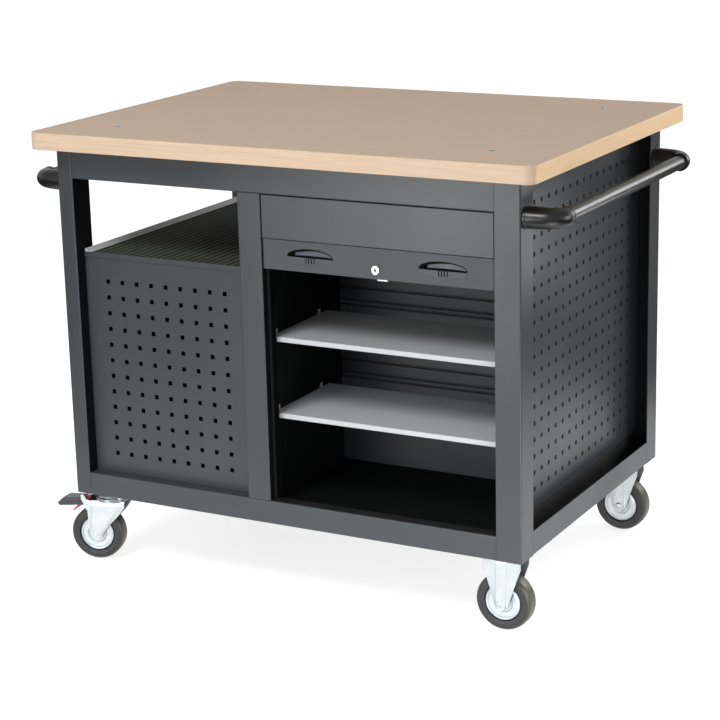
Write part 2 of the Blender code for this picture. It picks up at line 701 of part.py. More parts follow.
def shutter_curtain():
    """The slatted curtain in parts that stand one behind the other while the shutter is open."""
    pitch = CURTAIN_HEIGHT / SLATS
    half = SLAT_GROOVE_WIDTH / 2
    left = MID_RIGHT + SEAT + GUIDE_WALL + SLIDE_CLEARANCE
    right = RIGHT_WALL_X - SEAT - GUIDE_WALL - SLIDE_CLEARANCE
    for k, name in enumerate(("curtain_lower", "curtain_middle", "curtain_upper")):
        front = CURTAIN_FRONT + k * CURTAIN_STEP
        section = [(front + CURTAIN_THICKNESS, 0.0), (front, 0.0)]
        for slat in range(1, SLATS):
            joint = slat * pitch
            section += [(front, joint - half), (front + SLAT_GROOVE, joint), (front, joint + half)]
        section += [(front, CURTAIN_HEIGHT), (front + CURTAIN_THICKNESS, CURTAIN_HEIGHT)]
        add(name, prism(section, 0, left, right), COAT, (0.0, 0.0, CURTAIN_BOTTOM))


def bracket_shape(side_x, side_y):
    """A handle bracket: an oval foot on the post that bends through a quarter turn into a round socket.

    Its foot stands at the origin and it reaches out along side_x. Its socket opens along side_y.
    """
    socket = HANDLE_TUBE_RADIUS + SEAT
    shell = socket + BRACKET_SOCKET_WALL
    bend_x = HANDLE_REACH - BRACKET_BEND
    stations = [
        (SEAT, 0.0, 0.0, BRACKET_BASE_HALF_DEPTH, BRACKET_BASE_HALF_HEIGHT),
        (BRACKET_FLANGE, 0.0, 0.0, BRACKET_BASE_HALF_DEPTH, BRACKET_BASE_HALF_HEIGHT),
    ]
    for k in range(BEND_STEPS + 1):
        turn = math.pi / 2 * k / BEND_STEPS
        x = bend_x + BRACKET_BEND * math.sin(turn)
        y = BRACKET_BEND * (1 - math.cos(turn))
        swell = (1 - k / BEND_STEPS) ** 2
        half_depth = shell + swell * (BRACKET_BASE_HALF_DEPTH - shell) / 2
        half_height = shell + swell * (BRACKET_BASE_HALF_HEIGHT - shell) / 2
        stations.append((x, y, turn, half_depth, half_height))
    mouth = BRACKET_BEND + BRACKET_SOCKET_RUN
    stations.append((HANDLE_REACH, mouth, math.pi / 2, shell, shell))
    stations.append((HANDLE_REACH, mouth, math.pi / 2, socket, socket))
    stations.append((HANDLE_REACH, mouth - BRACKET_SOCKET_DEPTH, math.pi / 2, socket, socket))
    ring = (np.arange(TUBE_SEGMENTS) + 0.5) * 2 * np.pi / TUBE_SEGMENTS
    rings = []
    for x, y, turn, half_depth, half_height in stations:
        across = half_depth * np.cos(ring)
        points_x = side_x * (x - across * math.sin(turn))
        points_y = side_y * (y + across * math.cos(turn))
        rings.append(np.stack([points_x, points_y, half_height * np.sin(ring)], axis=1))
    return loft(rings)


def push_handles():
    """A round tube at each end, held by a bracket on the front and the rear post."""
    socket_start = BRACKET_BEND + BRACKET_SOCKET_RUN - BRACKET_SOCKET_DEPTH + SEAT
    half = FRAME_DEPTH / 2 - POST_DEPTH / 2 - socket_start
    inner = HANDLE_TUBE_RADIUS - HANDLE_TUBE_WALL
    profile = [(HANDLE_TUBE_RADIUS, -half), (HANDLE_TUBE_RADIUS, half), (inner, half), (inner, -half)]
    level = TOP - HANDLE_FROM_TOP
    for end, side_x, x in (("left", -1, LEFT), ("right", 1, RIGHT)):
        place = (x + side_x * HANDLE_REACH, 0.0, level)
        add(end + "_push_tube", turned(profile, TUBE_SEGMENTS, closed=True), BLACK_PLASTIC, place, smooth=True)
        for row, side_y, y in (("front", 1, FRONT + POST_DEPTH / 2), ("rear", -1, BACK - POST_DEPTH / 2)):
            shape = bracket_shape(side_x, side_y)
            add(f"{end}_{row}_bracket", shape, BLACK_PLASTIC, (x, y, level), smooth=True)


def tyre_shape():
    """A solid rubber tyre: a ring with round shoulders, flat where it meets the floor."""
    half = TYRE_WIDTH / 2
    bore = HUB_RADIUS + SEAT
    outer = WHEEL_RADIUS / math.cos(math.pi / WHEEL_SEGMENTS)
    line = arc((outer - TYRE_SHOULDER, half - TYRE_SHOULDER), TYRE_SHOULDER, 0, 90, SHOULDER_STEPS)
    upper = [(radius, y) for radius, y in line]
    lower = [(radius, -y) for radius, y in reversed(line)]
    inner = half - HUB_LIP
    profile = [(bore, -inner), *lower, *upper, (bore, inner)]
    return turned(profile, WHEEL_SEGMENTS, closed=True)


def hub_shape():
    """A pressed steel wheel centre: a barrel on the axle, a dished disc and the rim under the tyre."""
    bore = AXLE_RADIUS + RUNNING_CLEARANCE
    barrel = FORK_INNER - RUNNING_CLEARANCE
    rim = TYRE_WIDTH / 2 - HUB_LIP
    half = [
        (bore, barrel),
        (HUB_BARREL_RADIUS, barrel),
        (HUB_BARREL_RADIUS + HUB_LIP, rim - HUB_LIP),
        (HUB_RADIUS - HUB_LIP, rim - HUB_LIP),
        (HUB_RADIUS, rim),
    ]
    profile = half + [(radius, -y) for radius, y in reversed(half)]
    return turned(profile, WHEEL_SEGMENTS, closed=True)


def axle_shape():
    """An axle bolt across the fork, with a head on one side and a nut on the other."""
    head = FORK_OUTER + SEAT
    end = head + AXLE_HEAD
    profile = [
        (AXLE_HEAD_RADIUS, -end),
        (AXLE_HEAD_RADIUS, -head),
        (AXLE_RADIUS, -head),
        (AXLE_RADIUS, head),
        (AXLE_HEAD_RADIUS, head),
        (AXLE_HEAD_RADIUS, end),
    ]
    return turned(profile, BOLT_SEGMENTS)


def axle_bore(place):
    """The cutter for the axle's holes in the two legs of a fork."""
    radius = AXLE_RADIUS + SEAT
    return moved(turned([(radius, -2 * FORK_OUTER), (radius, 2 * FORK_OUTER)], BOLT_SEGMENTS), place)


def legs(outline):
    """The two legs of a fork, one on each side of the wheel."""
    return [prism(outline, 1, FORK_INNER, FORK_OUTER), prism(outline, 1, -FORK_OUTER, -FORK_INNER)]


def top_plate():
    """The plate that bolts a castor under the frame."""
    half_x = PLATE_LENGTH / 2
    half_y = PLATE_WIDTH / 2
    return box((-half_x, -half_y, PLATE_BOTTOM), (half_x, half_y, PLATE_TOP))


def fixed_castor_fork():
    """A fixed fork: the top plate with two straight legs that taper to the axle."""
    half = FIXED_FORK_TOP_WIDTH / 2
    top = (PLATE_TOP + PLATE_BOTTOM) / 2
    shoulder = PLATE_BOTTOM - FIXED_FORK_SHOULDER
    foot = arc((0.0, WHEEL_RADIUS), FORK_FOOT_RADIUS, 0, -180, 2 * CORNER_STEPS)
    outline = [(half, top), (half, shoulder), *foot, (-half, shoulder), (-half, top)]
    return carved("fixed_fork", [top_plate(), *legs(outline)], [axle_bore((0.0, 0.0, WHEEL_RADIUS))])


def swivel_castor_plate():
    """The top plate with its ball race and the kingpin that holds the fork."""
    head = CROWN_BOTTOM - RUNNING_CLEARANCE
    profile = [
        (RACE_RADIUS, PLATE_BOTTOM + PLATE_THICKNESS / 2),
        (RACE_RADIUS, RACE_BOTTOM),
        (KINGPIN_RADIUS, RACE_BOTTOM),
        (KINGPIN_RADIUS, head),
        (KINGPIN_HEAD_RADIUS, head),
        (KINGPIN_HEAD_RADIUS, head - KINGPIN_HEAD),
    ]
    return carved("swivel_plate", [top_plate(), on_z(turned(profile, TUBE_SEGMENTS))], [])


def swivel_castor_fork():
    """A swivel fork: a round crown under the ball race with two legs that trail to the axle."""
    axle_x = -SWIVEL_OFFSET
    tail = axle_x - FORK_FOOT_RADIUS
    nose = CROWN_RADIUS * 0.75
    top = (CROWN_TOP + CROWN_BOTTOM) / 2
    foot = arc((axle_x, WHEEL_RADIUS), FORK_FOOT_RADIUS, 0, -180, 2 * CORNER_STEPS)
    slope = CROWN_BOTTOM - CROWN_RADIUS / 2
    outline = [(nose, top), (nose, slope), *foot, (tail, top)]
    disc = [(CROWN_RADIUS, CROWN_TOP), (CROWN_RADIUS, CROWN_BOTTOM)]
    crown = on_z(turned(disc, WHEEL_SEGMENTS))
    pin = KINGPIN_RADIUS + RUNNING_CLEARANCE
    hole = on_z(turned([(pin, CROWN_TOP + FORK_SHEET), (pin, CROWN_BOTTOM - FORK_SHEET)], BOLT_SEGMENTS))
    return carved("swivel_fork", [crown, *legs(outline)], [axle_bore((axle_x, 0.0, WHEEL_RADIUS)), hole])


def pedal_mesh():
    """The brake pedal about its hinge: a boss between the legs and a lever over the wheel."""
    half = PEDAL_WIDTH / 2
    boss_half = FORK_INNER - RUNNING_CLEARANCE
    boss = turned([(PEDAL_BOSS_RADIUS, -boss_half), (PEDAL_BOSS_RADIUS, boss_half)], BOLT_SEGMENTS)
    rise = PEDAL_THICKNESS / 2
    lever = [
        (0.0, -PEDAL_BOSS_RADIUS / 2),
        (0.0, PEDAL_BOSS_RADIUS / 2),
        (-PEDAL_REACH / 3, rise),
        (-PEDAL_REACH * 0.82, rise),
        (-PEDAL_REACH, -PEDAL_TIP_DROP / 2),
        (-PEDAL_REACH * 0.96, -PEDAL_TIP_DROP),
        (-PEDAL_REACH / 3, -rise),
    ]
    return carved("brake_pedal", [boss, prism(lever, 1, -half, half)], [])


def castors():
    """Two fixed castors at the right end and two braked swivel castors at the left end."""
    fixed_fork = fixed_castor_fork()
    swivel_plate = swivel_castor_plate()
    swivel_fork = swivel_castor_fork()
    pedal = pedal_mesh()
    rows = (("front", FRONT + CASTOR_INSET_Y), ("rear", BACK - CASTOR_INSET_Y))
    for row, y in rows:
        fixed = add_axis(row + "_fixed_castor", (RIGHT - CASTOR_INSET_X, y, 0.0))
        add_mesh(row + "_fixed_fork", fixed_fork, ZINC, parent=fixed, smooth=True)
        axle = add_axis(row + "_fixed_axle_line", (0.0, 0.0, WHEEL_RADIUS), fixed)
        wheel_pieces(row + "_fixed", axle)

        pivot = (LEFT + CASTOR_INSET_X, y, 0.0)
        base = add_axis(row + "_swivel_base", pivot)
        add_mesh(row + "_swivel_plate", swivel_plate, ZINC, parent=base, smooth=True)
        swivel = add_axis(row + "_swivel_castor", pivot, yaw=SWIVEL_YAW)
        add_mesh(row + "_swivel_fork", swivel_fork, ZINC, parent=swivel, smooth=True)
        axle = add_axis(row + "_swivel_axle_line", (-SWIVEL_OFFSET, 0.0, WHEEL_RADIUS), swivel)
        wheel_pieces(row + "_swivel", axle)
        hinge = (-PEDAL_HINGE_BACK, 0.0, CASTOR_HEIGHT - PEDAL_HINGE_DROP)
        add_mesh(row + "_brake_pedal", pedal, BLACK_PLASTIC, hinge, swivel, smooth=True)


def wheel_pieces(name, axle):
    """The axle bolt, the wheel centre and the tyre on one axle line."""
    add(name + "_axle", axle_shape(), ZINC, parent=axle, smooth=True)
    add(name + "_hub", hub_shape(), ZINC, parent=axle, smooth=True)
    add(name + "_tyre", tyre_shape(), RUBBER, parent=axle, smooth=True)


def main():
    """Build the whole bench."""
    clear_scene()
    board_top()
    posts()
    rails()
    panels()
    tool_tray()
    cabinet()
    shutter_fixed_pieces()
    shutter_bar()
    shutter_curtain()
    push_handles()
    castors()


main()
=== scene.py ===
"""Looks of the mobile workbench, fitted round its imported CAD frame.

Every piece is a surface worked out with numpy, in metres, in the frame of the CAD model: the front faces -Y,
the right end faces +X and the floor lies at Z = 0. Each piece rides on one of the model's bodies.
"""

import json
import logging
import math
from dataclasses import dataclass, replace
from enum import Enum
from typing import Any, Sequence

import bmesh
import bpy
import numpy as np
from mathutils import Matrix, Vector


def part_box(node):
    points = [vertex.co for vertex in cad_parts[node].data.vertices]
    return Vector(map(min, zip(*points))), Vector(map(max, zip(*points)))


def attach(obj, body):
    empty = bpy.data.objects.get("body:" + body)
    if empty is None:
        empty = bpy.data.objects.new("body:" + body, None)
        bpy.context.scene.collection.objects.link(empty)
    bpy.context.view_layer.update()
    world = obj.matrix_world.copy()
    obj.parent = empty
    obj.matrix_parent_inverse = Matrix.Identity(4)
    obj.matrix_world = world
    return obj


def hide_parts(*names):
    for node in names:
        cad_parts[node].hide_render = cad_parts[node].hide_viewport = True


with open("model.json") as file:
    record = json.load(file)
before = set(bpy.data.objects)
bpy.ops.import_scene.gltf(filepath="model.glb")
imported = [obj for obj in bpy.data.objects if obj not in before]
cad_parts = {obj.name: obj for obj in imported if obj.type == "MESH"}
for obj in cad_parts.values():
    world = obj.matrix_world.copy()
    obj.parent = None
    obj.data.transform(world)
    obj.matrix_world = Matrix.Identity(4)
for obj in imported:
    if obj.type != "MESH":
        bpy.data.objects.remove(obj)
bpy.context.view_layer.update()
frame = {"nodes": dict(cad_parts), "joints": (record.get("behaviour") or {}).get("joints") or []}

Array = np.ndarray
Point = Sequence[float]
Links = dict[Any, tuple[Any, Any]]
LOG = logging.getLogger("workbench")
MM = 0.001
SHARP_ANGLE = math.radians(38)
WELD_GAP = 0.01 * MM
# A face looks along an axis when its normal's part along that axis is over this.
FACING = 0.9
# The arris that a cut leaves on a thin sheet, and a finer one on slats and ribs.
CUT_EDGE = 0.3 * MM
FINE_EDGE = 0.2 * MM


# Surfaces


@dataclass(frozen=True)
class Shell:
    """A closed skin: its points, and its faces as blocks of indices of one width each."""

    points: Array
    faces: tuple[Array, ...]

    def volume(self) -> float:
        """The signed volume: over fans of triangles, a sixth of the triple product of each one's corners.

        Returns:
            Cubic metres, positive when the faces point outwards.
        """
        total = 0.0
        for block in self.faces:
            corners = self.points[block]
            across = np.cross(corners[:, 1:-1], corners[:, 2:])
            total += float((corners[:, :1] * across).sum())
        return total / 6

    def outward(self) -> "Shell":
        """The same skin with its faces pointing outwards."""
        if self.volume() >= 0:
            return self
        return Shell(self.points, tuple(block[:, ::-1] for block in self.faces))

    def placed(self, by: Point, yaw: float = 0.0) -> "Shell":
        """The skin turned about Z, then carried by a vector.

        Args:
            by: the vector in metres.
            yaw: the turn in radians.

        Returns:
            The placed skin.
        """
        cosine, sine = math.cos(yaw), math.sin(yaw)
        turn = np.array([[cosine, -sine, 0.0], [sine, cosine, 0.0], [0.0, 0.0, 1.0]])
        return Shell(self.points @ turn.T + np.asarray(by, float), self.faces)


def lattice(rows: int, columns: int, loop_rows: bool = False, loop_columns: bool = False) -> Array:
    """Quads of a grid of points that is stored row by row.

    Args:
        rows: the number of rows.
        columns: the number of points in a row.
        loop_rows: whether the last row joins the first.
        loop_columns: whether a row's last point joins its first.

    Returns:
        The corners of each quad, one quad a row.
    """
    first, second = np.meshgrid(
        np.arange(rows if loop_rows else rows - 1),
        np.arange(columns if loop_columns else columns - 1),
        indexing="ij",
    )
    below, beside = (first + 1) % rows, (second + 1) % columns
    corners = (
        first * columns + second,
        first * columns + beside,
        below * columns + beside,
        below * columns + second,
    )
    return np.stack(corners, axis=-1).reshape(-1, 4)


def carried(rings: Array, loop: bool = False) -> Shell:
    """A ring carried along a path: ring k of the array is the profile's place at station k.

    Args:
        rings: stations by points by three.
        loop: whether the last station joins the first. Without it both ends are closed flat.

    Returns:
        The closed skin.
    """
    stations, count = rings.shape[:2]
    blocks = [lattice(stations, count, loop, True)]
    if not loop:
        blocks.append(np.arange(count)[None, ::-1])
        blocks.append((stations - 1) * count + np.arange(count)[None])
    return Shell(rings.reshape(-1, 3), tuple(blocks)).outward()


def slab(outer: Array, inner: Array) -> Shell:
    """A sheet between two surfaces on one grid, closed round its border.

    Args:
        outer: rows by columns by three.
        inner: the same grid on the other side of the sheet.

    Returns:
        The closed skin.
    """
    rows, columns = outer.shape[:2]
    count = rows * columns
    quads = lattice(rows, columns)
    border = np.concatenate([
        np.arange(columns - 1),
        np.arange(rows - 1) * columns + columns - 1,
        (rows - 1) * columns + np.arange(columns - 1, 0, -1),
        np.arange(rows - 1, 0, -1) * columns,
    ])
    after = np.roll(border, -1)
    side = np.stack([after, border, border + count, after + count], axis=1)
    points = np.concatenate([outer.reshape(-1, 3), inner.reshape(-1, 3)])
    return Shell(points, (quads, quads[:, ::-1] + count, side)).outward()


def rounded(corners: Sequence[Point], radius: float | Sequence[float], steps: int = 3) -> Array:
    """A closed outline with each corner replaced by an arc tangent to its two sides.

    The arc's centre lies on the corner's bisector, at radius / sin(half angle).

    Args:
        corners: the corners in order.
        radius: one radius, or one for each corner.
        steps: the number of chords in an arc.

    Returns:
        The outline's points.
    """
    point = np.asarray(corners, float)
    reach = np.broadcast_to(np.asarray(radius, float), (len(point),))[:, None]
    back = np.roll(point, 1, axis=0) - point
    ahead = np.roll(point, -1, axis=0) - point
    back /= np.linalg.norm(back, axis=1, keepdims=True)
    ahead /= np.linalg.norm(ahead, axis=1, keepdims=True)
    half = np.arccos(np.clip((back * ahead).sum(axis=1, keepdims=True), -1.0, 1.0)) / 2
    middle = back + ahead
    middle /= np.linalg.norm(middle, axis=1, keepdims=True)
    centre = point + middle * reach / np.sin(half)
    first = point + back * reach / np.tan(half) - centre
    last = point + ahead * reach / np.tan(half) - centre
    start = np.arctan2(first[:, 1], first[:, 0])
    sweep = np.arctan2(last[:, 1], last[:, 0]) - start
    sweep = (sweep + np.pi) % (2 * np.pi) - np.pi
    angle = start[:, None] + sweep[:, None] * np.linspace(0.0, 1.0, steps + 1)
    arcs = centre[:, None] + reach[:, None] * np.stack([np.cos(angle), np.sin(angle)], axis=-1)
    return arcs.reshape(-1, 2)


def rectangle(low: Point, high: Point, radius: float, steps: int = 3) -> Array:
    """A rectangle with round corners.

    Args:
        low: its lower left corner.
        high: its upper right corner.
        radius: the corner radius.
        steps: the number of chords in a corner.

    Returns:
        The outline's points.
    """
    corners = [(low[0], low[1]), (high[0], low[1]), (high[0], high[1]), (low[0], high[1])]
    return rounded(corners, radius, steps)


def drawn_in(outline: Array) -> Array:
    """For each point of a closed outline, the step that moves both its sides inwards by one metre.

    It is the sum of the two sides' inward normals over one plus their product.

    Args:
        outline: the outline's points in order.

    Returns:
        One step for each point.
    """
    run = np.roll(outline, -1, axis=0) - outline
    run /= np.maximum(np.linalg.norm(run, axis=1, keepdims=True), 1e-12)
    normal = np.stack([-run[:, 1], run[:, 0]], axis=1)
    x, y = outline.T
    if (x * np.roll(y, -1) - y * np.roll(x, -1)).sum() < 0:
        normal = -normal
    before = np.roll(normal, 1, axis=0)
    return (normal + before) / (1 + (normal * before).sum(axis=1, keepdims=True))


def cross_axes(axis: int) -> list[int]:
    """The two axes other than this one, in their order."""
    return [other for other in range(3) if other != axis]


def bar(outline: Array, axis: int, start: float, stop: float, ease: float = 0.4 * MM,
        steps: int = 2) -> Shell:
    """An outline carried straight along an axis, with its end arrises eased by a quarter round.

    At the angle t of the round, the ring lies ease * (1 - cos t) in from the end and is drawn in by
    ease * (1 - sin t).

    Args:
        outline: points on the two axes other than axis, in their order.
        axis: the axis that it is carried along.
        start: where it begins.
        stop: where it ends.
        ease: the radius of the ends' arrises.
        steps: the number of chords in the round.

    Returns:
        The closed skin.
    """
    angle = np.linspace(0.0, np.pi / 2, steps + 1)
    depth = ease * (1 - np.cos(angle))
    draw = ease * (1 - np.sin(angle))
    level = np.concatenate([start + depth, stop - depth[::-1]])
    draw = np.concatenate([draw, draw[::-1]])
    rings = np.empty((len(level), len(outline), 3))
    rings[:, :, cross_axes(axis)] = outline + draw[:, None, None] * drawn_in(outline)
    rings[:, :, axis] = level[:, None]
    return carried(rings)


def turned(profile: Sequence[Point], segments: int, axis: int = 1, loop: bool = False) -> Shell:
    """A profile of (radius, height) points turned about an axis.

    Args:
        profile: the points from one end to the other.
        segments: the number of facets round the axis.
        axis: the axis that it is turned about.
        loop: whether the profile is a closed one, as of a ring.

    Returns:
        The closed skin.
    """
    line = np.asarray(profile, float)
    angle = np.arange(segments) * 2 * np.pi / segments
    rings = np.empty((len(line), segments, 3))
    first, second = cross_axes(axis)
    rings[:, :, first] = line[:, :1] * np.cos(angle)
    rings[:, :, second] = line[:, :1] * np.sin(angle)
    rings[:, :, axis] = line[:, 1:]
    return carried(rings, loop)


def doubled(line: Array) -> Array:
    """A profile on one side of the middle, then its mirror image on the other side in reverse."""
    return np.concatenate([line, (line * np.array([1.0, -1.0]))[::-1]])


def smooth_step(value: Array) -> Array:
    """The cubic 3t^2 - 2t^3 of a value held between 0 and 1."""
    held = np.clip(value, 0.0, 1.0)
    return held * held * (3 - 2 * held)


def dome(radius: float, height: float, rings: int = 4) -> Array:
    """The profile of a low dome on a short rim: an ellipse's quarter from the rim almost to the top.

    Args:
        radius: the rim's radius.
        height: the dome's height.
        rings: the number of chords up the dome.

    Returns:
        (radius, height) points, from the foot to the top.
    """
    angle = np.linspace(0.0, 0.48 * np.pi, rings + 1)
    curve = np.stack([radius * np.cos(angle), height * (0.25 + 0.75 * np.sin(angle))], axis=1)
    return np.concatenate([[(radius, 0.0)], curve])


# Finishes


def linear(code: str) -> tuple[float, float, float, float]:
    """A linear colour from an sRGB hex value.

    Args:
        code: six hex digits.

    Returns:
        Red, green, blue and one.
    """
    value = np.array([int(code[i:i + 2], 16) for i in (0, 2, 4)]) / 255
    light = np.where(value <= 0.04045, value / 12.92, ((value + 0.055) / 1.055) ** 2.4)
    return (float(light[0]), float(light[1]), float(light[2]), 1.0)


def add_node(tree: Any, kind: str, settings: dict[str, Any] | None = None,
             links: Links | None = None) -> Any:
    """Adds one node with its settings and links.

    Args:
        tree: the material's node tree.
        kind: the node's type.
        settings: values by socket or property name. "ramp" gives a colour ramp's (place, hex) stops.
        links: (node, output) by input name or number.

    Returns:
        The node.
    """
    made = tree.nodes.new(kind)
    for name, value in (settings or {}).items():
        if name == "ramp":
            stops = made.color_ramp.elements
            for k, (place, code) in enumerate(value):
                stop = stops[k] if k < len(stops) else stops.new(place)
                stop.position = place
                stop.color = linear(code)
        elif name in made.inputs:
            made.inputs[name].default_value = value
        else:
            setattr(made, name, value)
    for name, (source, output) in (links or {}).items():
        tree.links.new(source.outputs[output], made.inputs[name])
    return made


def per_metre(millimetres: float) -> float:
    """The texture scale that gives a pattern this many millimetres of size."""
    return 1 / (millimetres * MM)


@dataclass(frozen=True)
class Finish:
    """What the finishes share: the material's name, its colour and its roughness."""

    name: str
    colour: str
    roughness: float

    def material(self) -> Any:
        """The Blender material, made the first time that it is asked for.

        Returns:
            The material.
        """
        found = bpy.data.materials.get(self.name)
        if found is None:
            found = bpy.data.materials.new(self.name)
            found.use_nodes = True
            tree = found.node_tree
            tree.nodes.clear()
            place = add_node(tree, "ShaderNodeTexCoord")
            shader = self.shader(tree, {"Vector": (place, "Object")})
            add_node(tree, "ShaderNodeOutputMaterial", {}, {"Surface": (shader, 0)})
        return found

    def shader(self, tree: Any, where: Links) -> Any:
        """The shader node of the finish, with what feeds it.

        Args:
            tree: the material's node tree.
            where: the link that gives a texture its place on the piece.

        Returns:
            The shader node.
        """
        raise NotImplementedError

    def gloss(self, less: float, more: float) -> dict[str, float]:
        """Settings of a map range that turns the middle values of a noise into roughness.

        Args:
            less: how far the roughness falls under the finish's own.
            more: how far it rises over it.

        Returns:
            Values by socket name.
        """
        low, high = self.roughness - less, self.roughness + more
        return {"From Min": 0.3, "From Max": 0.7, "To Min": low, "To Max": high}


@dataclass(frozen=True)
class PowderCoat(Finish):
    """Polyester powder baked on steel sheet: an even colour with a fine orange peel and a soft gloss.

    The peel is really about 0.5 mm across. It is drawn coarser here, so that it shows.
    """

    fleck: str = "303437"
    peel_mm: float = 1.4
    peel_depth_mm: float = 0.05
    cloud_mm: float = 260.0
    ior: float = 1.5

    def shader(self, tree: Any, where: Links) -> Any:
        """Fine flecks of a second tone, orange peel as bump and slow changes of gloss.

        Args:
            tree: the material's node tree.
            where: the link that gives a texture its place on the piece.

        Returns:
            The shader node.
        """
        fine = {"Scale": per_metre(self.peel_mm), "Detail": 2.0}
        peel = add_node(tree, "ShaderNodeTexNoise", fine, where)
        slow = {"Scale": per_metre(self.cloud_mm), "Detail": 3.0}
        cloud = add_node(tree, "ShaderNodeTexNoise", slow, where)
        stops = {"ramp": ((0.30, self.fleck), (0.62, self.colour))}
        tone = add_node(tree, "ShaderNodeValToRGB", stops, {"Fac": (peel, 0)})
        gloss = add_node(tree, "ShaderNodeMapRange", self.gloss(0.05, 0.05), {"Value": (cloud, 0)})
        relief = {"Strength": 0.35, "Distance": self.peel_depth_mm * MM}
        bump = add_node(tree, "ShaderNodeBump", relief, {"Height": (peel, 0)})
        feeds = {"Base Color": (tone, 0), "Roughness": (gloss, 0), "Normal": (bump, 0)}
        return add_node(tree, "ShaderNodeBsdfPrincipled", {"IOR": self.ior}, feeds)


@dataclass(frozen=True)
class Beech(Finish):
    """Beech, sanded and oiled: long fibres between a darker and a paler tone, and short dark flecks."""

    pale: str = "D8BE9E"
    fleck: str = "A5835F"
    fibre_mm: tuple[float, float, float] = (120.0, 2.4, 2.4)
    fibre_depth_mm: float = 0.06
    fleck_mm: tuple[float, float, float] = (9.0, 1.3, 1.3)
    fleck_share: float = 0.35
    ior: float = 1.48

    def shader(self, tree: Any, where: Links) -> Any:
        """Two noises stretched along the grain: one for the fibres, one cut off into flecks.

        Args:
            tree: the material's node tree.
            where: the link that gives a texture its place on the piece.

        Returns:
            The shader node.
        """
        stretch = {"Scale": [per_metre(size) for size in self.fibre_mm]}
        along = add_node(tree, "ShaderNodeMapping", stretch, where)
        strands = {"Scale": 1.0, "Detail": 5.0, "Roughness": 0.6}
        fibre = add_node(tree, "ShaderNodeTexNoise", strands, {"Vector": (along, 0)})
        stretch = {"Scale": [per_metre(size) for size in self.fleck_mm]}
        dots = add_node(tree, "ShaderNodeMapping", stretch, where)
        dot = add_node(tree, "ShaderNodeTexNoise", {"Scale": 1.0, "Detail": 1.0}, {"Vector": (dots, 0)})
        stops = {"ramp": ((0.32, self.colour), (0.70, self.pale))}
        tone = add_node(tree, "ShaderNodeValToRGB", stops, {"Fac": (fibre, 0)})
        peaks = {"From Min": 0.60, "From Max": 0.74, "To Max": self.fleck_share}
        cut = add_node(tree, "ShaderNodeMapRange", peaks, {"Value": (dot, 0)})
        blend = add_node(tree, "ShaderNodeMix", {"data_type": "RGBA"}, {0: (cut, 0), 6: (tone, 0)})
        # A mix node has an input B for each kind of data. The colour's is number 7.
        blend.inputs[7].default_value = linear(self.fleck)
        relief = {"Strength": 0.25, "Distance": self.fibre_depth_mm * MM}
        bump = add_node(tree, "ShaderNodeBump", relief, {"Height": (fibre, 0)})
        gloss = add_node(tree, "ShaderNodeMapRange", self.gloss(0.06, 0.06), {"Value": (fibre, 0)})
        feeds = {"Base Color": (blend, 2), "Roughness": (gloss, 0), "Normal": (bump, 0)}
        return add_node(tree, "ShaderNodeBsdfPrincipled", {"IOR": self.ior}, feeds)


@dataclass(frozen=True)
class Moulded(Finish):
    """Plastic or rubber out of a mould: one colour with a fine eroded grain that scatters the highlight."""

    worn: str = "202122"
    grain_mm: float = 0.9
    grain_depth_mm: float = 0.04
    scuff_mm: float = 28.0
    ior: float = 1.5

    def shader(self, tree: Any, where: Links) -> Any:
        """A fine grain as bump, slow scuffs in tone and gloss.

        Args:
            tree: the material's node tree.
            where: the link that gives a texture its place on the piece.

        Returns:
            The shader node.
        """
        fine = {"Scale": per_metre(self.grain_mm), "Detail": 2.0}
        grain = add_node(tree, "ShaderNodeTexNoise", fine, where)
        slow = {"Scale": per_metre(self.scuff_mm), "Detail": 5.0}
        scuff = add_node(tree, "ShaderNodeTexNoise", slow, where)
        stops = {"ramp": ((0.35, self.colour), (0.75, self.worn))}
        tone = add_node(tree, "ShaderNodeValToRGB", stops, {"Fac": (scuff, 0)})
        gloss = add_node(tree, "ShaderNodeMapRange", self.gloss(0.06, 0.08), {"Value": (scuff, 0)})
        relief = {"Strength": 0.4, "Distance": self.grain_depth_mm * MM}
        bump = add_node(tree, "ShaderNodeBump", relief, {"Height": (grain, 0)})
        feeds = {"Base Color": (tone, 0), "Roughness": (gloss, 0), "Normal": (bump, 0)}
        return add_node(tree, "ShaderNodeBsdfPrincipled", {"IOR": self.ior}, feeds)


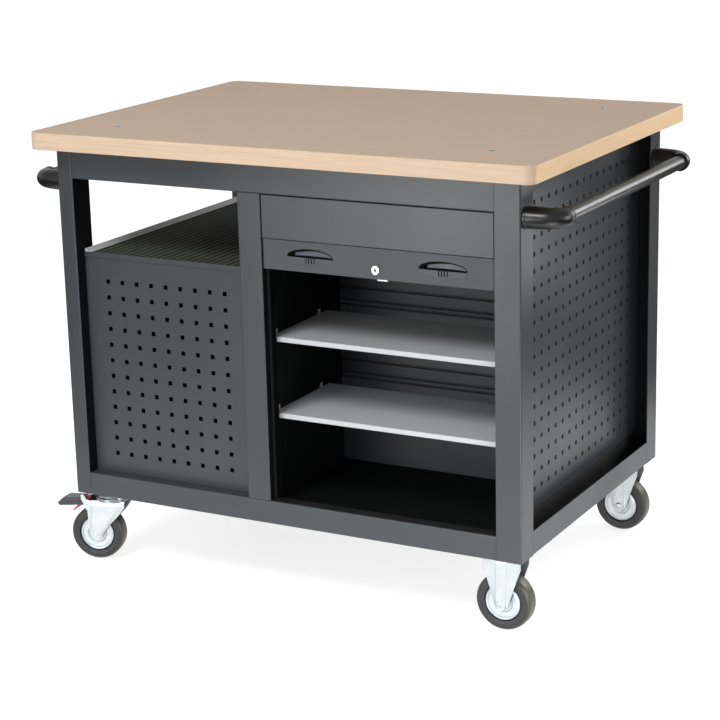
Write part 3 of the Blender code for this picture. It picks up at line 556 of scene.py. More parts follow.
@dataclass(frozen=True)
class Plated(Finish):
    """Bright zinc or nickel plated on pressed steel: a pale metal with faint rolling lines and clouds."""

    cloudy: str = "B4BABD"
    cloud_mm: float = 22.0
    line_mm: tuple[float, float, float] = (26.0, 26.0, 1.1)
    line_depth_mm: float = 0.03

    def shader(self, tree: Any, where: Links) -> Any:
        """Clouds of a second tone, and fine lines from rolling in the gloss and the bump.

        Args:
            tree: the material's node tree.
            where: the link that gives a texture its place on the piece.

        Returns:
            The shader node.
        """
        slow = {"Scale": per_metre(self.cloud_mm), "Detail": 4.0}
        cloud = add_node(tree, "ShaderNodeTexNoise", slow, where)
        stretch = {"Scale": [per_metre(size) for size in self.line_mm]}
        along = add_node(tree, "ShaderNodeMapping", stretch, where)
        line = add_node(tree, "ShaderNodeTexNoise", {"Scale": 1.0, "Detail": 3.0}, {"Vector": (along, 0)})
        stops = {"ramp": ((0.35, self.cloudy), (0.68, self.colour))}
        tone = add_node(tree, "ShaderNodeValToRGB", stops, {"Fac": (cloud, 0)})
        gloss = add_node(tree, "ShaderNodeMapRange", self.gloss(0.07, 0.07), {"Value": (line, 0)})
        relief = {"Strength": 0.15, "Distance": self.line_depth_mm * MM}
        bump = add_node(tree, "ShaderNodeBump", relief, {"Height": (line, 0)})
        feeds = {"Base Color": (tone, 0), "Roughness": (gloss, 0), "Normal": (bump, 0)}
        return add_node(tree, "ShaderNodeBsdfPrincipled", {"Metallic": 1.0}, feeds)


@dataclass(frozen=True)
class LitFloor(Finish):
    """Milky acrylic floor lit from below: it looks white and keeps only a faint shadow."""

    second: str = "BABABA"
    cloud_mm: float = 900.0
    glow: float = 0.74

    def shader(self, tree: Any, where: Links) -> Any:
        """Slow clouds of a second tone over an even glow.

        Args:
            tree: the material's node tree.
            where: the link that gives a texture its place on the piece.

        Returns:
            The shader node.
        """
        slow = {"Scale": per_metre(self.cloud_mm), "Detail": 2.0}
        cloud = add_node(tree, "ShaderNodeTexNoise", slow, where)
        stops = {"ramp": ((0.3, self.second), (0.7, self.colour))}
        tone = add_node(tree, "ShaderNodeValToRGB", stops, {"Fac": (cloud, 0)})
        values = {
            "Roughness": self.roughness,
            "Emission Color": linear("FFFFFF"),
            "Emission Strength": self.glow,
        }
        return add_node(tree, "ShaderNodeBsdfPrincipled", values, {"Base Color": (tone, 0)})


# Powder coats: soft highlights along the edges of the anthracite, and greys that spread the light evenly on
# the shelves. A near-black coat is painted shade inside the cabinet and on faces that look into the bays, and
# the tray's edge is painted pale grey as the light on it.
ANTHRACITE = PowderCoat("anthracite_polyester_powder_coat", "363A3D", 0.36)
# Painted shade: near black on the cabinet's floor, partition, guides and the posts' faces into the bays.
PAINTED_SHADE_COAT = PowderCoat("black_powder_coat_inside_cabinet", "060708", 0.62, fleck="050606", ior=1.25)
WALL_COAT = PowderCoat("dark_powder_coat_on_ribbed_wall", "2A2F32", 0.46, fleck="262B2E")
BAR_COAT = PowderCoat("satin_anthracite_powder_coat_on_bar", "373B3E", 0.46)
LIGHT_GREY = PowderCoat("light_grey_powder_coat", "B2B6B8", 0.44, fleck="AAAEB0")
# Painted light: the tray's sloped edge is pale grey, for the light that it catches.
TRAY_EDGE_PAINTED_LIGHT = PowderCoat("pale_grey_powder_coat_on_tray_edge", "C6CACC", 0.55, fleck="BEC2C4")
SLAT_COAT = PowderCoat("coil_coated_grey_slat", "3A3D40", 0.38, fleck="36393C", peel_mm=2.2)
TUBE_COAT = PowderCoat("black_semi_gloss_powder_coat_on_tube", "1C1E1D", 0.30, fleck="191B1A", peel_mm=1.8,
                       peel_depth_mm=0.02)

# Beech: fine lines along the board's face, and broad layers round its edges. The edges are painted paler than
# the
# face and the ends paler and warmer still: painted light, for the lamps that light them more.
BEECH_FACE = Beech("beech_face_sanded_and_oiled", "A8907A", 0.58, pale="B9A28D")
BEECH_EDGE_PAINTED_LIT = Beech("beech_edge_sanded_and_oiled", "BCA48C", 0.52, pale="CCB39A",
                   fibre_mm=(150.0, 150.0, 4.5), fleck_mm=(14.0, 14.0, 1.3), fleck_share=0.25)
BEECH_END_PAINTED_LIT = replace(BEECH_EDGE_PAINTED_LIT, name="beech_end_sanded_and_oiled", colour="DAB98E", pale="E6C59C")

# Rubber: dull on the mat, with a broad dark sheen on the tyres and a browner one on their treads.
MAT_RUBBER = Moulded("ribbed_rubber_mat", "3A3E38", 0.80, worn="474B43", grain_mm=1.2, ior=1.3)
TYRE_RUBBER = Moulded("moulded_solid_rubber_tyre", "191B1C", 0.48, worn="222425", grain_mm=1.0)
TREAD_RUBBER = Moulded("worn_rubber_tread", "34332C", 0.36, worn="403E36", grain_mm=1.2)

# Plastics: a silky highlight on the grips and brackets, and the red of the brakes. Black is painted shade in
# the hollows, the scoop's blue-grey is painted light and the pedal's grey pad is a painted highlight.
HANDLE_NYLON = Moulded("moulded_black_nylon_bracket", "0B0C0D", 0.34, worn="101112", grain_mm=0.8,
                       grain_depth_mm=0.015)
GRIP_ABS = Moulded("moulded_grey_abs_grip", "373B3E", 0.44, worn="3B3F43", grain_mm=0.7,
                   grain_depth_mm=0.012)
# Painted light: the scoop's floor is a paler blue-grey than the shell, where light falls into it.
GRIP_PAINTED_LIGHT = Moulded("satin_blue_grey_abs_in_scoop", "4A505B", 0.36, worn="525864", grain_mm=0.7,
                    grain_depth_mm=0.012)
# Painted shade: black on the scoop's walls, rim and brow, and in the grooves under it.
GRIP_PAINTED_SHADE = Moulded("black_abs_on_scoop_walls", "040405", 0.80, worn="070707", grain_mm=0.7, ior=1.2)
PEDAL_NYLON = Moulded("moulded_dark_grey_nylon_pedal", "2B2D2F", 0.48, worn="3A3D40", grain_mm=0.9)
RED_NYLON = Moulded("moulded_red_nylon_release", "B0282C", 0.40, worn="BC3F42", grain_mm=0.8)
DARK_RED = Moulded("moulded_dark_red_button", "5E1216", 0.32, worn="70191E", grain_mm=0.8)
# Painted highlight: the grey pad on the pedal's top stands for its shine.
PEDAL_PAINTED_HIGHLIGHT = Moulded("moulded_grey_pedal_pad", "75797B", 0.55, worn="85898B", grain_mm=1.0)
CLIP_NYLON = Moulded("moulded_pale_nylon_shelf_clip", "A9AFB1", 0.40, worn="B4BABC")
# Black plastic on the sliders, and painted shade in sockets, keyway, the wall's grooves and two strips.
BLACK_PLASTIC_AND_SHADE = Moulded("dark_socket_and_keyway", "0B0B0C", 0.60, worn="141415")

# Plated steel: pale and cloudy on the pressings, with a sharp shine on the ball races and the lock.
ZINC = Plated("bright_zinc_plated_pressed_steel", "C6CCCD", 0.40, cloudy="BBC2C4")
RACE_ZINC = Plated("bright_zinc_plated_ball_race", "A9B0B3", 0.20, cloudy="8F979A")
HUB_ZINC = Plated("zinc_plated_wheel_disc", "C4CBCC", 0.46, cloudy="B9C1C3")
NICKEL = Plated("polished_nickel_lock", "E6E6E4", 0.16, cloudy="CFCFCC")
LOCK_PLUG = Plated("satin_zinc_lock_plug", "8A8C8C", 0.45, cloudy="7C7E7E")


class Slot(Enum):
    """The record's material slots."""

    FRAME = "frame_coat"
    SHELF = "shelf_coat"
    BOARD = "board"
    MAT = "mat_rubber"
    BAR = "bar_coat"
    SLAT = "slat"
    GRIP = "grip_plastic"
    LOCK = "lock_metal"
    TUBE = "handle_tube"
    BRACKET = "handle_plastic"
    ZINC = "zinc"
    HUB = "wheel_centre"
    TYRE = "wheel_rubber"
    PEDAL = "pedal_plastic"


# Pieces


def mesh_of(name: str, shells: Sequence[Shell], weld: bool = False) -> Any:
    """A smooth-shaded mesh of closed skins, sharp where its faces meet at more than the sharp angle.

    Args:
        name: the mesh's name.
        shells: the skins.
        weld: whether points that fall together, as at a pole, are merged.

    Returns:
        The mesh.
    """
    start = np.cumsum([0] + [len(shell.points) for shell in shells])
    points = np.concatenate([shell.points for shell in shells])
    faces = []
    for shell, base in zip(shells, start):
        for block in shell.faces:
            faces += (block + base).tolist()
    mesh = bpy.data.meshes.new(name)
    mesh.from_pydata(points.tolist(), [], faces)
    if weld:
        work = bmesh.new()
        work.from_mesh(mesh)
        bmesh.ops.remove_doubles(work, verts=work.verts, dist=WELD_GAP)
        work.to_mesh(mesh)
        work.free()
    mesh.shade_smooth()
    mesh.set_sharp_from_angle(angle=SHARP_ANGLE)
    return mesh


def add_object(name: str, data: Any) -> Any:
    """A new object in the scene that shows a mesh, a light or a camera.

    Args:
        name: the object's name.
        data: what it shows.

    Returns:
        The Blender object.
    """
    made = bpy.data.objects.new(name, data)
    bpy.context.scene.collection.objects.link(made)
    return made


def add_piece(name: str, shells: Sequence[Shell], finish: Finish, body: str,
              nodes: Sequence[str] = (), weld: bool = False) -> Any:
    """One dressed piece that rides on a body and may stand for CAD nodes.

    Args:
        name: the piece's name.
        shells: its skins, in place.
        finish: its finish.
        body: the body that it rides on.
        nodes: the CAD nodes that it stands for.
        weld: whether points that fall together are merged.

    Returns:
        The Blender object.
    """
    mesh = mesh_of(name, shells, weld)
    mesh.materials.append(finish.material())
    piece = add_object(name, mesh)
    even = piece.modifiers.new("even_normals", "WEIGHTED_NORMAL")
    even.keep_sharp = True
    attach(piece, body)
    if nodes:
        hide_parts(*nodes)
    LOG.info("%s: %d faces on %s", name, len(mesh.polygons), body)
    return piece


def faces_of(piece: Any) -> tuple[Array, Array]:
    """The middles and the normals of a piece's faces.

    Args:
        piece: the Blender object.

    Returns:
        Two arrays of faces by three.
    """
    polygons = piece.data.polygons
    middle, normal = np.empty(3 * len(polygons)), np.empty(3 * len(polygons))
    polygons.foreach_get("center", middle)
    polygons.foreach_get("normal", normal)
    return middle.reshape(-1, 3), normal.reshape(-1, 3)


def paint(piece: Any, finish: Finish, chosen: Array) -> None:
    """Gives some faces of a piece another finish.

    Args:
        piece: the Blender object.
        finish: the other finish.
        chosen: for each face, whether it takes that finish.
    """
    index = np.empty(len(chosen), np.int32)
    piece.data.polygons.foreach_get("material_index", index)
    index[chosen] = len(piece.data.materials)
    piece.data.materials.append(finish.material())
    piece.data.polygons.foreach_set("material_index", index)


def dress(finish: Finish, *nodes: str) -> None:
    """Gives CAD nodes that stay in view their finish.

    Args:
        finish: the finish.
        nodes: the nodes' names.
    """
    for node in nodes:
        materials = frame["nodes"][node].data.materials
        materials.clear()
        materials.append(finish.material())
        LOG.info("%s: dressed in %s", node, finish.name)


def corners_of(node: str) -> tuple[Array, Array]:
    """A CAD node's lowest and highest corners as arrays."""
    low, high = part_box(node)
    return np.array(low), np.array(high)


def joint_of(name: str) -> dict[str, Any]:
    """The record's joint of that name."""
    return next(joint for joint in frame["joints"] if joint["name"] == name)


@dataclass
class BoardTop:
    """The beech board with round corners and eased arrises, and the four bolts that hold it."""

    corner: float = 0.022
    ease: float = 2.2 * MM
    bolt_x: float = 0.4515
    bolt_y: float = 0.2965
    bolt_radius: float = 9.0 * MM
    socket_radius: float = 5.4 * MM
    socket_floor: tuple[float, float] = (0.02 * MM, 0.1 * MM)
    bolt_rise: float = 0.7 * MM
    face_rise: float = 0.6

    def board(self) -> None:
        """The slab: its round outline carried up, with faces of one grain and paler edges of another, painted
        light.
        """
        low, high = corners_of("tabletop")
        outline = rectangle(low[:2], high[:2], self.corner, 8)
        shell = bar(outline, 2, low[2], high[2], self.ease, 4)
        piece = add_piece("tabletop_board", [shell], BEECH_FACE, "frame", ["tabletop"])
        normal = np.abs(faces_of(piece)[1])
        # Painted light: the edges, and the ends more so, take paler beech than the face.
        edge = normal[:, 2] < self.face_rise
        paint(piece, BEECH_EDGE_PAINTED_LIT, edge)
        paint(piece, BEECH_END_PAINTED_LIT, edge & (normal[:, 0] > FACING))

    def bolts(self) -> None:
        """Four socket-head bolts: a flat ring round a socket, turned about Z."""
        low, high = corners_of("tabletop")
        middle = (low + high) / 2
        rise, rim, socket = self.bolt_rise, self.bolt_radius, self.socket_radius
        ring = rounded([(socket, 0.0), (rim, 0.0), (rim, rise), (socket, rise)], CUT_EDGE)
        floor = [(socket, level) for level in self.socket_floor]
        heads, sockets = [], []
        for x in (-self.bolt_x, self.bolt_x):
            for y in (-self.bolt_y, self.bolt_y):
                place = (middle[0] + x, middle[1] + y, high[2])
                heads.append(turned(ring, 24, 2, True).placed(place))
                sockets.append(turned(floor, 24, 2).placed(place))
        add_piece("board_bolt_heads", heads, ZINC, "frame")
        # Painted shade: each socket is a flat black disc for the shade in its hollow.
        add_piece("board_bolt_sockets", sockets, BLACK_PLASTIC_AND_SHADE, "frame")

    def build(self) -> None:
        """The board and its bolts."""
        self.board()
        self.bolts()


@dataclass
class FrameTubes:
    """The welded frame: tubes with round corners, and folded angles at the right end."""

    tube_corner: float = 2.6 * MM
    ease: float = 0.5 * MM
    sheet: float = 2.5 * MM
    fold_outside: float = 3.0 * MM
    fold_inside: float = 0.8 * MM
    cut_edge: float = 0.4 * MM
    lip_trim: float = 4.0 * MM

    def tube(self, node: str, axis: int) -> Any:
        """One tube: the round-cornered section of a node's box carried along it.

        Args:
            node: the CAD node that it stands for.
            axis: the axis that it runs along.

        Returns:
            The Blender object.
        """
        low, high = corners_of(node)
        others = cross_axes(axis)
        outline = rectangle(low[others], high[others], self.tube_corner, 4)
        shell = bar(outline, axis, low[axis], high[axis], self.ease)
        return add_piece(node + "_tube", [shell], ANTHRACITE, "frame", [node])

    def angle(self, node: str, axis: int, corner: tuple[float, float], reach: tuple[float, float],
              longer: float = 0.0) -> Any:
        """One folded angle: two flanges of sheet that meet in a round fold.

        Args:
            node: the CAD node that it stands for.
            axis: the axis that it runs along.
            corner: the outside corner of the fold, on the other two axes.
            reach: how far each flange runs from that corner, with its sign.
            longer: what is added at both of its ends.

        Returns:
            The Blender object.
        """
        low, high = corners_of(node)
        in_u = math.copysign(self.sheet, reach[0])
        in_v = math.copysign(self.sheet, reach[1])
        u, v = corner
        line = [
            (u, v),
            (u, v + reach[1]),
            (u + in_u, v + reach[1]),
            (u + in_u, v + in_v),
            (u + reach[0], v + in_v),
            (u + reach[0], v),
        ]
        cut = self.cut_edge
        outline = rounded(line, [self.fold_outside, cut, cut, self.fold_inside, cut, cut], 4)
        shell = bar(outline, axis, low[axis] - longer, high[axis] + longer, self.cut_edge)
        return add_piece(node + "_angle", [shell], ANTHRACITE, "frame", [node])

    def build(self) -> None:
        """All the posts and rails, with a near-black coat painted as shade on the faces that look into the
        bays.
        """
        self.tube("rear_left_post", 2)
        for node in ("front_left_post", "mid_post"):
            post = self.tube(node, 2)
            # Painted shade: the faces that look into the bay to the right are near black.
            paint(post, PAINTED_SHADE_COAT, faces_of(post)[1][:, 0] > FACING)
        for node in ("front_top_rail", "rear_top_rail", "front_bottom_rail", "rear_bottom_rail"):
            self.tube(node, 0)
        for node in ("left_top_rail", "left_bottom_rail"):
            self.tube(node, 1)
        low, high = corners_of("front_right_post")
        size = high - low
        lip = size[1] - self.lip_trim
        self.angle("front_right_post", 2, (high[0], low[1]), (-size[0], lip))
        low, high = corners_of("rear_right_post")
        rear = self.angle("rear_right_post", 2, (high[0], high[1]), (-size[0], -lip))
        middle, normal = faces_of(rear)
        # Painted shade: the rear post's faces that look forward into the cabinet are near black.
        paint(rear, PAINTED_SHADE_COAT, (normal[:, 1] < -FACING) & (middle[:, 1] > high[1] - lip / 2))
        low, high = corners_of("right_bottom_rail")
        size = high - low
        self.angle("right_bottom_rail", 1, (high[0], low[2]), (-size[0], size[2]), self.lip_trim)


@dataclass
class Panels:
    """The frame's sheets, their rivets, and two strips and a sheet behind the end panel painted black as
    shade.
    """

    rivet_radius: float = 3.6 * MM
    rivet_rise: float = 1.3 * MM
    rivet_inset: float = 0.012
    rivet_gap: float = 0.115
    seal: float = 0.8 * MM
    seal_foot: float = 5.0 * MM
    seal_top: float = 0.2270
    seal_setback: float = 2.0 * MM
    seal_gap: float = 0.5 * MM
    film_inset: tuple[float, float] = (1.0 * MM, 1.5 * MM)
    film_corner: float = 1.0 * MM
    film_gap: float = 0.05 * MM
    film_sheet: float = 0.2 * MM

    def rivet_row(self, start: Point, stop: Point, axis: int, sign: float) -> list[Shell]:
        """Domed rivets at one spacing between two points.

        Args:
            start: the first rivet's place on the sheet.
            stop: the last rivet's place.
            axis: the axis that the sheet faces.
            sign: the side of the sheet that the domes stand on.

        Returns:
            A skin for each rivet.
        """
        first, last = np.asarray(start, float), np.asarray(stop, float)
        count = max(2, round(float(np.linalg.norm(last - first)) / self.rivet_gap) + 1)
        profile = dome(self.rivet_radius, self.rivet_rise, 3) * np.array([1.0, sign])
        shape = turned(profile, 16, axis)
        return [shape.placed(first + (last - first) * share) for share in np.linspace(0.0, 1.0, count)]

    def rivets(self) -> None:
        """Rows of rivets along the edges of the rear panel and of the left end panel."""
        inset = self.rivet_inset
        low, high = corners_of("rear_panel")
        tray = corners_of("tool_tray")[0][2]
        step = corners_of("cabinet_partition")[0][0]
        y = high[1]
        left, right, bottom, top = low[0] + inset, high[0] - inset, low[2] + inset, high[2] - inset
        rows = [
            ((left, y, bottom), (right, y, bottom)),
            ((right, y, bottom + self.rivet_gap), (right, y, top)),
            ((step + inset, y, top), (right - self.rivet_gap, y, top)),
            ((left, y, bottom + self.rivet_gap), (left, y, tray - inset)),
        ]
        shells = [rivet for start, stop in rows for rivet in self.rivet_row(start, stop, 1, 1.0)]
        add_piece("rear_panel_rivets", shells, ANTHRACITE, "frame")
        low, high = corners_of("left_end_panel")
        x = low[0]
        front, back, bottom, top = low[1] + inset, high[1] - inset, low[2] + inset, high[2] - inset
        rows = [((x, front, bottom), (x, back, bottom)), ((x, front, top), (x, back, top))]
        shells = [rivet for start, stop in rows for rivet in self.rivet_row(start, stop, 0, -1.0)]
        add_piece("left_end_panel_rivets", shells, ANTHRACITE, "frame")

    def strips(self) -> None:
        """Black strips painted as shade: at the right end panel's foot and along the front of the cabinet's
        floor.
        """
        foot = corners_of("right_bottom_rail")[0]
        panel = corners_of("right_end_panel")[1]
        start, stop = (panel[0], foot[2] + self.seal_foot), (panel[0] + self.seal, self.seal_top)
        upright = rectangle(start, stop, CUT_EDGE)
        low, high = corners_of("front_bottom_rail")
        level = rectangle((low[1] + self.seal_setback, high[2]), (high[1], high[2] + self.seal), CUT_EDGE)
        left, right = corners_of("mid_post")[1][0], corners_of("front_right_post")[0][0]
        shells = [
            bar(upright, 1, foot[1], panel[1] - self.seal_setback),
            bar(level, 0, left + self.seal_gap, right - self.seal_gap),
        ]
        add_piece("black_sealing_strips", shells, BLACK_PLASTIC_AND_SHADE, "frame")

    def film(self) -> None:
        """A black sheet on the inside of the right end panel, painted shade, so that its holes look into the
        dark.
        """
        low, high = corners_of("right_end_panel")
        inset = np.array(self.film_inset)
        outline = rectangle(low[1:] + inset, high[1:] - inset, self.film_corner)
        face = low[0] - self.film_gap
        shell = bar(outline, 0, face - self.film_sheet, face, self.film_sheet / 4)
        add_piece("black_film_behind_end_panel", [shell], PAINTED_SHADE_COAT, "frame")

    def build(self) -> None:
        """Dresses the sheets, then adds the rivets, and the strips and the sheet painted black as shade."""
        dress(ANTHRACITE, "left_front_panel", "right_end_panel", "left_end_panel", "rear_panel")
        # Painted shade: the cabinet's floor is near black.
        dress(PAINTED_SHADE_COAT, "floor_pan")
        self.rivets()
        self.strips()
        self.film()


@dataclass
class ToolTray:
    """The tray over the left bay with its ribbed rubber mat, its sloped left edge and its front hem."""

    rib_pitch: float = 18.0 * MM
    rib_share: float = 0.62
    rib_flank: float = 0.1
    rib_rise: float = 2.6 * MM
    mat_split: float = 0.1 * MM
    side_width: float = 0.013
    side_gap: float = 2.0 * MM
    side_rise: float = 0.6 * MM
    hem_height: float = 0.0105
    hem_drop: float = 6.0 * MM
    hem_sheet: float = 2.0 * MM
    hem_gap: float = 0.4 * MM

    def mat_part(self, low: Point, high: Point) -> Shell:
        """One rectangle of the mat: a section of ribs carried along Y.

        The upper line is base + rise * s, where s is a square wave of x with its flanks eased to slopes.

        Args:
            low: the rectangle's lowest corner.
            high: its highest corner, at the top of the ribs.

        Returns:
            The closed skin.
        """
        count = max(1, round((high[0] - low[0]) / self.rib_pitch))
        pitch = (high[0] - low[0]) / count
        foot = 0.5 - self.rib_share / 2
        top = foot + self.rib_flank
        share = np.array([0.02, foot, top, 1 - top, 1 - foot, 0.98])
        rise = np.array([0.0, 0.0, 1.0, 1.0, 0.0, 0.0])
        x = (low[0] + pitch * (np.arange(count)[:, None] + share)).ravel()
        z = np.tile(high[2] - self.rib_rise * (1 - rise), count)
        line = np.concatenate([[(low[0], low[2])], np.stack([x, z], axis=1), [(high[0], low[2])]])
        return bar(line[::-1], 1, low[1], high[1], FINE_EDGE, 1)

    def mat(self) -> None:
        """The mat in two rectangles, because the middle post takes a corner out of the bay."""
        low, high = corners_of("tray_mat")
        post_low, post_high = corners_of("mid_post")
        gap = low[0] - corners_of("tool_tray")[0][0]
        step_x, step_y = post_low[0] - gap, post_high[1] + gap
        parts = [
            self.mat_part(low, (step_x, high[1], high[2])),
            self.mat_part((step_x + self.mat_split, step_y, low[2]), high),
        ]
        add_piece("tray_rubber_mat", parts, MAT_RUBBER, "frame", ["tray_mat"])

    def edges(self) -> None:
        """The sloped left edge of the tray, and the hem along its front."""
        low, high = corners_of("tool_tray")
        mat_top = corners_of("tray_mat")[1][2]
        crest = high[2] + self.side_rise
        line = [
            (low[0], mat_top),
            (low[0] + self.side_width, mat_top),
            (low[0] + self.side_width, mat_top + 0.8 * MM),
            (low[0] + 2.6 * MM, crest),
            (low[0], crest),
        ]
        side = rounded(line, np.array([0.3, 0.3, 0.3, 0.9, 0.6]) * MM)
        edge = bar(side, 1, low[1] + self.side_gap, high[1] - self.side_gap)
        # Painted light: the sloped edge is pale grey.
        add_piece("tray_sloped_edge", [edge], TRAY_EDGE_PAINTED_LIGHT, "frame")
        top = high[2] - self.hem_drop
        front = rectangle((low[1] - self.hem_sheet, top - self.hem_height),
                          (low[1] + 0.2 * MM, top + 0.4 * MM), 0.9 * MM)
        post = corners_of("mid_post")[0][0]
        hem = bar(front, 0, low[0] + self.hem_gap, post - self.hem_gap)
        add_piece("tray_front_hem", [hem], ANTHRACITE, "frame")

    def build(self) -> None:
        """Dresses the tray, lays its mat and adds its edges."""
        dress(ANTHRACITE, "tool_tray")
        self.mat()
        self.edges()


@dataclass
class Cabinet:
    """The open bay on the right: its walls, two grey shelves and the clips that hold them."""

    shelf_edge: float = 2.2 * MM
    clip_width: float = 11.0 * MM
    clip_rise: float = 11.0 * MM
    clip_sheet: float = 1.6 * MM
    clip_corner: float = 1.5 * MM
    clip_gap: float = 0.2 * MM
    clip_lift: float = 0.1 * MM
    clip_places: tuple[float, float] = (0.016, 0.205)
    groove_rises: tuple[float, float, float] = (2.5 * MM, 14.0 * MM, 43.0 * MM)
    groove_pitch: float = 0.0341
    groove_half: float = 3.4 * MM
    groove_depth: float = 3.0 * MM

    def shelf(self, node: str) -> None:
        """One shelf: a section with round arrises carried across the bay.

        Args:
            node: the CAD node that it stands for.
        """
        low, high = corners_of(node)
        outline = rectangle(low[1:], high[1:], self.shelf_edge, 4)
        shell = bar(outline, 0, low[0], high[0])
        add_piece(node + "_sheet", [shell], LIGHT_GREY, "frame", [node])

    def back_wall(self) -> None:
        """The wall behind the shelves: a section with grooves, black inside as painted shade, carried across
        the bay.

        In section it is flat, and falls back by groove_depth over groove_half on both sides of each groove's
        height. Three grooves lie over each shelf and the rest follow at one pitch.
        """
        low, high = corners_of("cabinet_back_wall")
        tops = [corners_of(node)[1][2] for node in ("lower_shelf", "upper_shelf")]
        near = [top + rise for top in tops for rise in self.groove_rises]
        far = np.arange(near[-1] + self.groove_pitch, high[2] - self.groove_pitch, self.groove_pitch)
        half = self.groove_half * np.array([-1.0, -0.6, 0.6, 1.0])
        z = (np.concatenate([near, far])[:, None] + half).ravel()
        y = np.tile(low[1] + self.groove_depth * np.array([0.0, 1.0, 1.0, 0.0]), len(z) // 4)
        front = np.stack([y, z], axis=1)
        rest = [(low[1], high[2]), (high[1], high[2]), (high[1], low[2])]
        line = np.concatenate([[(low[1], low[2])], front, rest])
        shell = bar(line, 0, low[0], high[0], 0.1 * MM, 1)
        nodes = ["cabinet_back_wall"]
        wall = add_piece("cabinet_back_wall_sheet", [shell], WALL_COAT, "frame", nodes)
        # Painted shade: the faces inside the grooves are black.
        depth = faces_of(wall)[0][:, 1] - low[1]
        paint(wall, BLACK_PLASTIC_AND_SHADE, (depth > 0.1 * self.groove_depth) & (depth < self.groove_depth + 0.1 * MM))

    def clips(self, node: str) -> None:
        """Four clips that stand up over a shelf's ends: small plates with round corners.

        Args:
            node: the shelf.
        """
        low, high = corners_of(node)
        shells = []
        for near in self.clip_places:
            start = (low[1] + near, high[2] + self.clip_lift)
            stop = (low[1] + near + self.clip_width, high[2] + self.clip_rise)
            outline = rectangle(start, stop, self.clip_corner)
            for x in (low[0] + self.clip_gap, high[0] - self.clip_sheet - self.clip_gap):
                shells.append(bar(outline, 0, x, x + self.clip_sheet, CUT_EDGE))
        add_piece(node + "_clips", shells, CLIP_NYLON, "frame")

    def build(self) -> None:
        """Dresses the partition, and makes the back wall, the shelves and their clips."""
        # Painted shade: the partition is near black.
        dress(PAINTED_SHADE_COAT, "cabinet_partition")
        self.back_wall()
        for node in ("upper_shelf", "lower_shelf"):
            self.shelf(node)
            self.clips(node)


